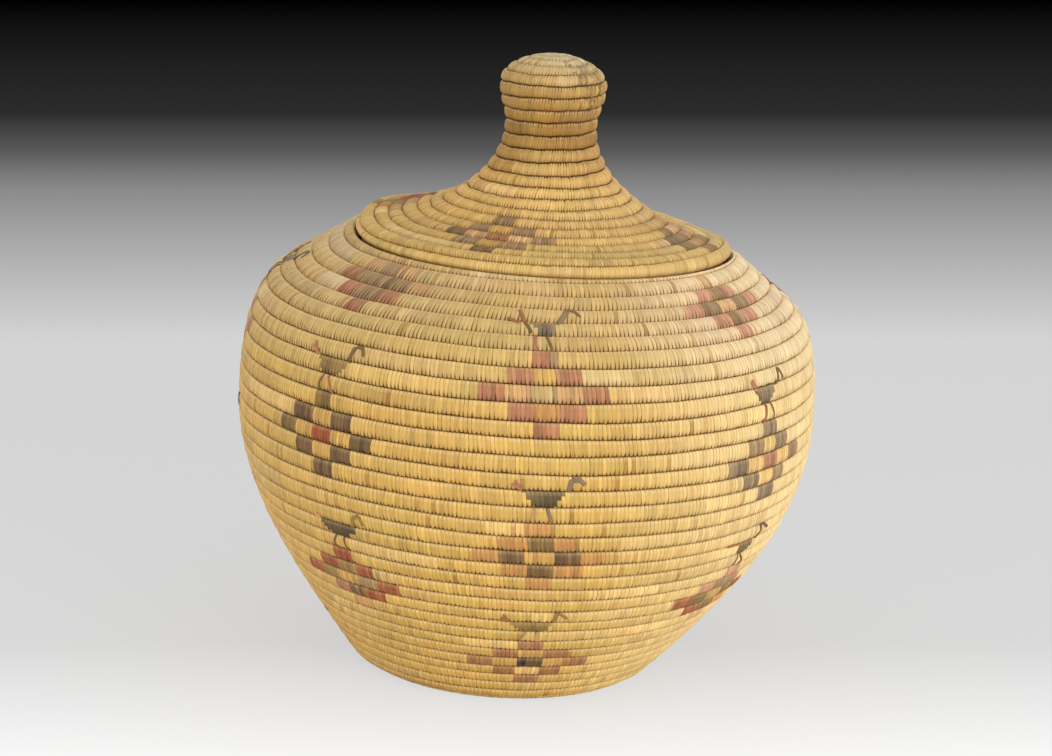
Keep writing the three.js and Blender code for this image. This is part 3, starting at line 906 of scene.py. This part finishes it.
def corner_layers(mesh, stitches, dyes, seams):
    """Writes the stitch map, given for each point, and the dye and the layer that sets the painted
    shade of seams and slits, given for each corner."""
    uv = mesh.uv_layers.new(name="stitches")
    uv.data.foreach_set("uv", stitches[corners_of(mesh)].astype(np.float32).ravel())
    for name, values in (("dye", dyes), ("seam", seams)):
        layer = mesh.color_attributes.new(name=name, type="FLOAT_COLOR", domain="CORNER")
        layer.data.foreach_set("color", values.astype(np.float32).ravel())


def sharpen(mesh, column, row, sharp_rows):
    """Marks the furrows between stitches and the corners of the seams as sharp."""
    ends = np.empty(len(mesh.edges) * 2, np.int32)
    mesh.edges.foreach_get("vertices", ends)
    a, b = ends.reshape(-1, 2).T
    along = (column[a] == column[b]) & (column[a] % 2 == 0)
    across = (row[a] == row[b]) & np.isin(row[a], sharp_rows)
    layer = mesh.attributes.new("sharp_edge", "BOOLEAN", "EDGE")
    layer.data.foreach_set("value", along | across)


def strand_mesh(coil, start, points, width, colour, number):
    """One flat strand laid over the coils, through points in mm aside of a start and coils up."""
    points = np.array(points)
    run = running(np.hypot(np.diff(points[:, 0]), coil.pitch / MM * np.diff(points[:, 1])))
    columns = max(6, int(run[-1] / STRAND_STEP))
    path = np.stack(columns_at(np.linspace(0, run[-1], columns + 1), run, points), 1)
    for _ in range(3):
        path[1:-1] = (path[:-2] + 2 * path[1:-1] + path[2:]) / 4
    aside, up = path[:, 0] * MM, path[:, 1]
    radius = coil.outline.section(coil.length_at(start + up), 0)[0]
    turns = start + aside / (2 * math.pi * radius)
    length = coil.length_at(turns + up)
    way = np.stack([np.gradient(aside), np.gradient(length)], 1)
    way /= np.linalg.norm(way, axis=1)[:, None]
    over = STRAND_HEIGHT * (STRAND_IN_SEAM + (1 - STRAND_IN_SEAM) * rib(up % 1, 3.0))

    mesh, column, row = grid_mesh("strand", columns, STRAND_ROWS)
    around = 2 * math.pi * row / STRAND_ROWS
    to_end = np.minimum(column, columns - column) / columns
    half = width / 2 * np.clip(STRAND_END_WIDTH + 5 * to_end, 0, 1)
    side = -np.cos(around) * half
    out = over[column] + STRAND_THICKNESS * np.sin(around) - STRAND_END_SINK * (to_end == 0)
    place_points(mesh, coil.place(length[column] + side * way[column, 0], out, turns[column],
                                  -side * way[column, 1]))
    stitches = np.stack([number + 0.5 - 0.45 * np.cos(around), 0.2 + 0.6 * column / columns], 1)
    corners = np.ones((len(mesh.loops), 4))
    corner_layers(mesh, stitches, corners * [*colour, 1.0], corners * UNSHADED_SEAM)
    close_tube(mesh, row, STRAND_ROWS)
    return mesh


def put(name, data):
    """Places new data in the scene."""
    made = bpy.data.objects.new(name, data)
    bpy.context.scene.collection.objects.link(made)
    return made


def finish_piece(name, mesh, body, material, nodes=()):
    """Makes the finished object of a mesh, on its body, in place of its CAD nodes."""
    mesh.materials.append(material)
    mesh.update()
    piece = put(name, mesh)
    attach(piece, body)
    if nodes:
        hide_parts(*nodes)
    return piece


def stretch_piece(sewing, node, begin, end, body, material):
    """One stretch of a coil with all its stitches, as a closed piece."""
    name = "sewn_" + node
    rows = len(ACROSS) - 1
    mesh, column, row = grid_mesh(name, 2 * (end - begin), rows)
    points, turns = stretch_points(sewing, begin, end)
    place_points(mesh, points[column, row])
    corner = corners_of(mesh)
    stitch = begin + first_of_face(column[corner]) // 2
    face_row = first_of_face(row[corner])
    outside = face_row < sewing.blend.shape[1]
    mask, depth = (np.where(outside, values[stitch, face_row * outside], 0)[:, None]
                   for values in (sewing.blend, sewing.depth))
    # This colour also carries the painted highlight on the lamp's side and the painted shade of
    # the tint.
    colour = (sewing.straw[stitch] * (1 - mask) + sewing.dyed[stitch] * mask) * (1 - depth)
    # Strength of the painted shade of the seams and slits, the slits' length, and how far they
    # open at the last ends.
    layers = np.stack(sewing.coil.work_at(turns)[3:], 1)
    corner_layers(mesh, np.stack([column / 2, ACROSS[row]], 1), np.append(colour, mask, 1),
                  layers[column[corner]])
    sharpen(mesh, column, row, SHARP_ROWS)
    mesh.shade_smooth()
    close_tube(mesh, row, rows)
    return finish_piece(name, mesh, body, material, [node])


def stretch_coil(sewing, stretches, knot_name, body, material):
    """All the stretches of a coil, cut at the stitch nearest to where the CAD cuts."""
    coil = sewing.coil
    cuts = [(knot_name, coil.turn_at(0) + KNOT_TURNS)]
    cuts += [(name, part * coil.turn_at(coil.length)) for name, part in stretches]
    begin = 0
    for name, last in cuts:
        end = int(np.abs(sewing.bounds - last).argmin())
        if end <= begin:
            raise RuntimeError(f"{name} has no stitches")
        stretch_piece(sewing, name, begin, end, body, material)
        begin = end


# Materials.


def add(tree, kind, inputs=None, **options):
    """Places one node, with its options and what feeds its inputs."""
    made = tree.nodes.new("ShaderNode" + kind)
    for name, value in options.items():
        setattr(made, name, value)
    for socket, value in (inputs or {}).items():
        if isinstance(value, bpy.types.NodeSocket):
            tree.links.new(value, made.inputs[socket])
        else:
            made.inputs[socket].default_value = value
    return made


def calc(tree, operation, *values, clamp=False):
    """One step of arithmetic."""
    inputs = dict(enumerate(values))
    return add(tree, "Math", inputs, operation=operation, use_clamp=clamp).outputs[0]


def times(tree, *values):
    """Values multiplied together, from the last to the first."""
    *rest, product = values
    for value in reversed(rest):
        product = calc(tree, "MULTIPLY", value, product)
    return product


def less(tree, value, clamp=False):
    """What a value leaves of 1."""
    return calc(tree, "SUBTRACT", 1.0, value, clamp=clamp)


def ramp(tree, value, low, high, to_low=0.0, to_high=1.0):
    """A value carried smoothly from one range to another."""
    inputs = {"Value": value, "From Min": low, "From Max": high,
              "To Min": to_low, "To Max": to_high}
    return add(tree, "MapRange", inputs, interpolation_type="SMOOTHSTEP").outputs[0]


def blended(tree, factor, first, second, way="MIX"):
    """Two colours mixed."""
    inputs = {0: factor, 6: first, 7: second}
    return add(tree, "Mix", inputs, data_type="RGBA", blend_type=way).outputs[2]


def cloud(tree, place, scale=1.0, detail=2.0, roughness=0.5):
    """A soft random pattern."""
    inputs = {"Vector": place, "Scale": scale, "Detail": detail, "Roughness": roughness}
    return add(tree, "TexNoise", inputs).outputs[0]


def chance_of(tree, number):
    """A random value of its own for each whole number."""
    return add(tree, "TexWhiteNoise", {"W": number}, noise_dimensions="1D").outputs["Value"]


def cleared(owner):
    """The empty node tree of a new material or world."""
    owner.use_nodes = True
    owner.node_tree.nodes.clear()
    return owner.node_tree


def use_group(tree, name, build, inputs):
    """Places a node group, which is built the first time that it is asked for."""
    group = bpy.data.node_groups.get(name)
    if group is None:
        group = bpy.data.node_groups.new(name, "ShaderNodeTree")
        new_socket = group.interface.new_socket
        for socket in inputs:
            kind = "Vector" if socket == "Place" else "Float"
            new_socket(name=socket, in_out="INPUT", socket_type="NodeSocket" + kind)
        results = build(group, group.nodes.new("NodeGroupInput").outputs)
        for socket in results:
            new_socket(name=socket, in_out="OUTPUT", socket_type="NodeSocketFloat")
        last = group.nodes.new("NodeGroupOutput")
        for socket, value in results.items():
            group.links.new(value, last.inputs[socket])
    return add(tree, "Group", inputs, node_tree=group).outputs


def strand_fibres(tree, given):
    """Fine fibres that run the length of each stitch, and are its own."""
    shift = times(tree, chance_of(tree, calc(tree, "FLOOR", given["Stitch"])), 60.0)
    layers = []
    for along, across in ((2.2, 0.7), (7.0, 1.7)):
        spot = add(tree, "CombineXYZ", {"X": times(tree, given["Stitch"], along),
                                        "Y": times(tree, given["Across"], across),
                                        "Z": shift}).outputs[0]
        layers.append(cloud(tree, spot, roughness=0.6))
    height = calc(tree, "ADD", times(tree, layers[0], 0.6), times(tree, layers[1], 0.4))
    swing = times(tree, calc(tree, "SUBTRACT", height, 0.5), given["Strength"])
    return {"Tone": calc(tree, "ADD", swing, 1.0), "Height": height}


def seams_and_slits(tree, given):
    """Painted shade in the seam between two coils and in the slits and furrows between the
    stitches, and painted shade that rounds each stitch.
    """
    beside = calc(tree, "PINGPONG", given["Stitch"], 0.5)
    chance = chance_of(tree, calc(tree, "ROUND", given["Stitch"]))
    up = calc(tree, "FRACT", given["Across"])
    to_seam = calc(tree, "PINGPONG", given["Across"], 0.5)
    spot = add(tree, "CombineXYZ", {"X": times(tree, given["Stitch"], 0.9)}).outputs[0]
    wander = calc(tree, "MULTIPLY_ADD", cloud(tree, spot, detail=1.0), 1.4, 0.3)
    width = times(tree, given["Seam Width"], wander)
    length = times(tree, given["Slit Length"], calc(tree, "ADD", chance, 0.45))
    widest = calc(tree, "MINIMUM", 0.48,
                  calc(tree, "DIVIDE", given["Slit Area"], given["Slit Length"]))

    def wedge(distance, weight):
        left = less(tree, calc(tree, "DIVIDE", distance, length), clamp=True)
        half = calc(tree, "MAXIMUM", times(tree, weight, left, widest), 0.0001)
        return less(tree, ramp(tree, calc(tree, "DIVIDE", beside, half), 0.45, 1.0))

    first, last = wedge(up, 1.0), wedge(less(tree, up), given["Other End"])
    # Painted shade in the furrow between two stitches, stronger in some furrows than in others.
    line = less(tree, ramp(tree, beside, 0.02, 0.15))
    return {"Seam": less(tree, ramp(tree, calc(tree, "DIVIDE", to_seam, width), 0.4, 1.0)),
            "Slit": calc(tree, "MAXIMUM", first, last),
            "Furrow": times(tree, line, ramp(tree, chance, 0.6, 1.0, 0.5, 1.6)),
            "Round": ramp(tree, beside, 0.0, 0.42, 0.96, 1.02)}


def weathering(tree, given):
    """Broad patches where the grass was greener, or has darkened with handling."""
    return {"Green": ramp(tree, cloud(tree, given["Place"], 22.0, 2.0), 0.5, 0.72),
            "Stain": ramp(tree, cloud(tree, given["Place"], 48.0, 3.0), 0.55, 0.78)}


def straw_material(name, colours, warmth, seam_width, slit_area, highlight_end):
    """Sewn straw: dyed or natural strands with fibres, and painted shade in the furrows, slits
    and seams and across each stitch. Each coil has a painted highlight along its upper edge and
    painted shade along its lower edge: the last argument is 1 where a coil is sewn upward, else 0."""
    material = bpy.data.materials.new(name)
    tree = cleared(material)
    uv = add(tree, "UVMap", uv_map="stitches").outputs[0]
    stitch, across, _ = add(tree, "SeparateXYZ", {0: uv}).outputs
    strand, work = (add(tree, "VertexColor", layer_name=layer).outputs
                    for layer in ("dye", "seam"))
    seam_shade_strength, slit_length, slit_shade_strength = add(tree, "SeparateColor", {0: work["Color"]}).outputs
    fibres = use_group(tree, "Strand fibres", strand_fibres,
                       {"Stitch": stitch, "Across": across, "Strength": 1.05})
    seams = use_group(tree, "Seams and slits", seams_and_slits, {
        "Stitch": stitch, "Across": across, "Seam Width": times(tree, seam_shade_strength, seam_width),
        "Slit Length": slit_length, "Slit Area": slit_area, "Other End": work["Alpha"]})
    weather = use_group(tree, "Weathering", weathering,
                        {"Place": add(tree, "TexCoord").outputs["Object"]})

    dyed = strand["Alpha"]
    green = times(tree, weather["Green"], less(tree, dyed), GREEN_SHOWS)
    colour = blended(tree, green, strand["Color"], (*colours.olive, 1))
    colour = blended(tree, times(tree, weather["Stain"], STAIN_SHOWS), colour, (*warmth, 1))
    height_up = calc(tree, "FRACT", across)
    # A coil's upper edge gets the painted highlight, its lower edge the painted shade.
    top, foot = (0.95, 0.0) if highlight_end else (0.05, 1.0)
    painted_highlight = times(tree, ramp(tree, height_up, 0.5 + 0.2 * (top - foot), top),
                 calc(tree, "MULTIPLY_ADD", dyed, DYED_PAINTED_HIGHLIGHT - PAINTED_HIGHLIGHT, PAINTED_HIGHLIGHT))
    colour = blended(tree, painted_highlight, colour, (*colours.cream, 1))
    # Fibre tone, times the painted shade that darkens each stitch from its crest towards its
    # furrows.
    tone_and_round_shade = times(tree, fibres["Tone"], seams["Round"])
    lit = add(tree, "CombineColor", dict.fromkeys(range(3), tone_and_round_shade)).outputs[0]
    colour = blended(tree, 1.0, colour, lit, "MULTIPLY")
    # Colour of all painted shade on the straw, darker between dyed strands; then the strength of
    # the painted shade in seams and slits.
    deep = blended(tree, dyed, (*colours.seam, 1), (*colours.dyed_seam_shade, 1))
    dark = calc(tree, "MAXIMUM", times(tree, seams["Seam"], seam_shade_strength),
                times(tree, seams["Slit"], slit_shade_strength), clamp=True)
    # Painted shade at a coil's lower edge, in the furrows, and in the seams and slits.
    for shade, strength in ((ramp(tree, height_up, 0.5, foot), PAINTED_FOOT_SHADE),
                            (seams["Furrow"], PAINTED_FURROW_SHADE), (dark, PAINTED_SEAM_SHADE)):
        colour = blended(tree, times(tree, shade, strength), colour, deep)
    height = calc(tree, "SUBTRACT", fibres["Height"], times(tree, dark, 0.8))
    bump = add(tree, "Bump", {"Strength": 0.35, "Distance": 0.25 * MM,
                              "Height": height}).outputs[0]
    roughness = ramp(tree, fibres["Height"], 0.2, 0.8, 0.72, 0.52)
    surface = add(tree, "BsdfPrincipled", {"Base Color": colour, "Roughness": roughness,
                                           "Normal": bump, "Specular IOR Level": 0.35})
    add(tree, "OutputMaterial", {"Surface": surface.outputs[0]})
    return material


def dyes_of(colours):
    """The letters of the diamonds and birds as colours."""
    names = dict(r="red", g="grey", d="dark", k="near_black", o="orange", q="pale_orange",
                 a="gold", p="pale_gold", b="brown", i="pink", v="olive_dye", w="slate",
                 s="rust", x="pale_rose", e="deep", y="pale_grey", m="black_olive",
                 c="cream_gold", n="rose_red")
    return {letter: np.array(getattr(colours, name)) for letter, name in names.items()}


# Pieces.


class GRASS_OT_body_coil(bpy.types.Operator):
    """Sews the body's coil from the middle of the floor to the mouth"""

    bl_idname = "grass_basket.body_coil"
    bl_label = "Body coil"

    def execute(self, context):
        form, work, colours, _ = settings()
        sewing = Sewing(body_coil(form, work), work, colours, work.seed)
        dyes = dyes_of(colours)
        for rows, birds, turned in COLUMNS:
            for row in rows:
                sewing.dye_row(row, dyes, turned)
            for bird in birds:
                sewing.dye_bird(bird, dyes, turned)
        material = straw_material("body straw", colours, colours.rose, seam_width=0.052,
                                  slit_area=0.125, highlight_end=1)
        stretch_coil(sewing, BODY_STRETCHES, "floor_start_coil", "basket", material)
        return {"FINISHED"}


class GRASS_OT_bird_strands(bpy.types.Operator):
    """Lays the necks, heads, tails and legs of the birds over the body's coil"""

    bl_idname = "grass_basket.bird_strands"
    bl_label = "Bird strands"

    def execute(self, context):
        form, work, colours, _ = settings()
        coil = body_coil(form, work)
        dyes = dyes_of(colours)
        joined = bmesh.new()
        number = 0
        for _, birds, turned in COLUMNS:
            for bird in birds:
                start = coil.turn_of(bird[1] + turned, bird[0])
                for letter, width, points in bird[6]:
                    mesh = strand_mesh(coil, start, points, width * MM, dyes[letter], number)
                    joined.from_mesh(mesh)
                    bpy.data.meshes.remove(mesh)
                    number += 1
        mesh = mesh_of(joined, "bird_strands")
        mesh.shade_smooth()
        material = straw_material("dyed strands", colours, colours.rose, seam_width=0.01,
                                  slit_area=0.001, highlight_end=1)
        finish_piece("bird_strands", mesh, "basket", material)
        return {"FINISHED"}


class GRASS_OT_lid_coil(bpy.types.Operator):
    """Sews the lid's coil from the top of the knob to the brim"""

    bl_idname = "grass_basket.lid_coil"
    bl_label = "Lid coil"

    def execute(self, context):
        form, work, colours, _ = settings()
        sewing = Sewing(lid_coil(form, work), work, colours, work.seed + 1)
        dyes = dyes_of(colours)
        for rows, turned in LID_COLUMNS:
            for row in rows:
                sewing.dye_row(row, dyes, turned)
        sewing.fray(*FRAYED_PATCH)
        material = straw_material("lid straw", colours, colours.ochre, seam_width=0.085,
                                  slit_area=0.12, highlight_end=0)
        stretch_coil(sewing, LID_STRETCHES, "knob_start_coil", "lid", material)
        return {"FINISHED"}


class GRASS_OT_lid_flange(bpy.types.Operator):
    """Sews the collar that keeps the lid in the mouth"""

    bl_idname = "grass_basket.lid_flange"
    bl_label = "Lid flange"

    def execute(self, context):
        form, work, colours, _ = settings()
        lid = lid_coil(form, work)
        coil = flange_coil(lid, seat_of(body_coil(form, work), lid, work), work)
        sewing = Sewing(coil, work, colours, work.seed + 2, COIL_END)
        material = straw_material("flange straw", colours, colours.ochre, seam_width=0.06,
                                  slit_area=0.075, highlight_end=0)
        stretch_piece(sewing, "lid_flange_coil", 0, sewing.count, "lid", material)
        return {"FINISHED"}


class GRASS_OT_mouth_ledge(bpy.types.Operator):
    """Sews the coil inside the mouth, on which the lid rests"""

    bl_idname = "grass_basket.mouth_ledge"
    bl_label = "Mouth ledge"

    def execute(self, context):
        form, work, colours, _ = settings()
        name = "sewn_mouth_ledge_coil"
        seat = seat_of(body_coil(form, work), lid_coil(form, work), work)
        count = int(2 * math.pi * seat[0] / work.stitch_width)
        rows = 16
        mesh, column, row = grid_mesh(name, 2 * count, rows)
        gap = COIL_END / seat[0]
        angle = BODY.start + gap + (2 * math.pi - 2 * gap) * column / (2 * count)
        around = 2 * math.pi * row / rows
        radius = work.ledge_radius - 0.1 * MM * (column % 2 == 0)
        out = seat[0] + radius * np.cos(around)
        place_points(mesh, np.stack([
            out * np.cos(angle) + form.mouth_sway, out * np.sin(angle),
            seat[1] + radius * np.sin(around) + form.hump * hump_at(angle)], 1))
        rng = np.random.default_rng(work.seed + 3)
        straw = np.array(colours.straw) * rng.normal(0.97, 0.06, count)[:, None]
        stitch = first_of_face(column[corners_of(mesh)]) // 2
        corner_layers(mesh, np.stack([column / 2, row / rows], 1),
                      np.pad(straw[stitch], ((0, 0), (0, 1))),
                      np.ones((len(stitch), 4)) * UNSHADED_SEAM)
        sharpen(mesh, column, row, [])
        mesh.shade_smooth()
        close_tube(mesh, row, rows)
        material = straw_material("ledge straw", colours, colours.rose, seam_width=0.01,
                                  slit_area=0.001, highlight_end=1)
        finish_piece(name, mesh, "basket", material, ["mouth_ledge_coil"])
        return {"FINISHED"}


def camera_place(stage):
    """Where the camera stands, and the directions to its right, up and back."""
    e, lean = stage.elevation, stage.roll
    ahead = Vector((0, math.cos(e), -math.sin(e)))
    up = Vector((0, math.sin(e), math.cos(e)))
    right = Vector((1, 0, 0))
    spot = Vector((0, 0, stage.aim_height)) - ahead * stage.distance
    spot += right * CAMERA_ASIDE + up * CAMERA_UP
    return spot, (math.cos(lean) * right + math.sin(lean) * up,
                  -math.sin(lean) * right + math.cos(lean) * up, -ahead)


class GRASS_OT_stage(bpy.types.Operator):
    """Sets the floor, the lamps and the camera"""

    bl_idname = "grass_basket.stage"
    bl_label = "Stage"

    def execute(self, context):
        stage = settings()[3]
        scene = context.scene
        self.lay_floor(stage)
        for name, place, width, power in LAMPS:
            self.hang_lamp(name, place, width, getattr(stage, power))
        scene.world = bpy.data.worlds.new("air")
        tree = cleared(scene.world)
        seen = add(tree, "LightPath").outputs["Is Camera Ray"]
        lighting = add(tree, "Background", {"Color": (1, 1, 1, 1), "Strength": stage.air})
        shown = add(tree, "Background", {"Color": (*stage.backdrop, 1), "Strength": 1.0})
        mixed = add(tree, "MixShader", {0: seen, 1: lighting.outputs[0], 2: shown.outputs[0]})
        add(tree, "OutputWorld", {"Surface": mixed.outputs[0]})
        self.set_camera(scene, stage)
        scene.view_settings.view_transform = "Standard"
        return {"FINISHED"}

    def lay_floor(self, stage):
        """A wide floor, pale by the basket, with the backdrop's greys for the camera."""
        work = bmesh.new()
        bmesh.ops.create_circle(work, cap_ends=True, segments=96, radius=FLOOR_RADIUS)
        mesh = mesh_of(work, "floor")
        floor = put("floor", mesh)
        material = bpy.data.materials.new("floor paper")
        tree = cleared(material)
        place = add(tree, "TexCoord").outputs["Object"]
        spot, (_, up, back) = camera_place(stage)
        away = add(tree, "VectorMath", {0: place, 1: tuple(spot)}, operation="SUBTRACT").outputs[0]
        rise, depth = (add(tree, "VectorMath", {0: away, 1: tuple(axis)},
                           operation="DOT_PRODUCT").outputs["Value"] for axis in (up, -back))
        half_height = FILM_WIDTH / 2 / stage.lens * PICTURE[0] / PICTURE[1]
        in_picture = calc(tree, "MULTIPLY_ADD", calc(tree, "DIVIDE", rise, depth),
                          0.5 / half_height, 0.5, clamp=True)
        greys = add(tree, "ValToRGB", {0: in_picture})
        stops = greys.color_ramp.elements
        while len(stops) < len(BACKDROP_GREYS):
            stops.new(0.5)
        for stop, (height, grey) in zip(stops, BACKDROP_GREYS):
            stop.position, stop.color = height, (*tone(grey, grey, grey), 1)
        seen = add(tree, "LightPath").outputs["Is Camera Ray"]
        colour = blended(tree, seen, (*stage.floor, 1), greys.outputs[0])
        surface = add(tree, "BsdfPrincipled", {"Base Color": colour, "Roughness": 0.9,
                                               "Specular IOR Level": 0.0})
        glow = add(tree, "Emission", {"Color": greys.outputs[0], "Strength": 1.0})
        mixed = add(tree, "MixShader", {0: times(tree, seen, stage.glow),
                                        1: surface.outputs[0], 2: glow.outputs[0]})
        add(tree, "OutputMaterial", {"Surface": mixed.outputs[0]})
        mesh.materials.append(material)

    def hang_lamp(self, name, place, width, power):
        """A soft square lamp that faces the basket."""
        lamp = bpy.data.lights.new(name, "AREA")
        lamp.size, lamp.energy = width, power
        holder = put(name, lamp)
        holder.location = place
        aim = Vector(LAMP_AIM) - Vector(place)
        holder.rotation_euler = aim.to_track_quat("-Z", "Y").to_euler()

    def set_camera(self, scene, stage):
        """The camera stands where the photograph's did, and leans as it did."""
        lens = bpy.data.cameras.new("camera")
        lens.lens, lens.sensor_width, lens.sensor_fit = stage.lens, FILM_WIDTH, "HORIZONTAL"
        camera = put("camera", lens)
        spot, axes = camera_place(stage)
        turn = Matrix([list(axis) for axis in axes]).transposed().to_4x4()
        camera.matrix_world = Matrix.Translation(spot) @ turn
        scene.camera = camera


class GRASS_PT_panel(bpy.types.Panel):
    """Sizes, colours and steps of the basket"""

    bl_idname = "GRASS_PT_panel"
    bl_label = "Grass basket"
    bl_space_type = "VIEW_3D"
    bl_region_type = "UI"
    bl_category = "Grass basket"

    def draw(self, context):
        for step in STEPS:
            self.layout.operator(step.bl_idname)
        for group in settings():
            box = self.layout.box()
            for name in group.__annotations__:
                box.prop(group, name)


STEPS = (GRASS_OT_body_coil, GRASS_OT_bird_strands, GRASS_OT_mouth_ledge, GRASS_OT_lid_coil,
         GRASS_OT_lid_flange, GRASS_OT_stage)
GROUPS = (("basket_form", BasketForm), ("basket_work", CoilWork),
          ("basket_colours", StrandColours), ("basket_stage", StageSettings))


def register():
    """Adds the classes and the scene's settings."""
    for name, group in GROUPS:
        bpy.utils.register_class(group)
        setattr(bpy.types.Scene, name, PointerProperty(type=group))
    for cls in (*STEPS, GRASS_PT_panel):
        bpy.utils.register_class(cls)


def unregister():
    """Takes them away again."""
    for cls in (GRASS_PT_panel, *reversed(STEPS)):
        bpy.utils.unregister_class(cls)
    for name, group in reversed(GROUPS):
        delattr(bpy.types.Scene, name)
        bpy.utils.unregister_class(group)


def main():
    """Runs every step in order."""
    register()
    for step in STEPS:
        family, action = step.bl_idname.split(".")
        getattr(getattr(bpy.ops, family), action)()


if __name__ == "__main__":
    main()
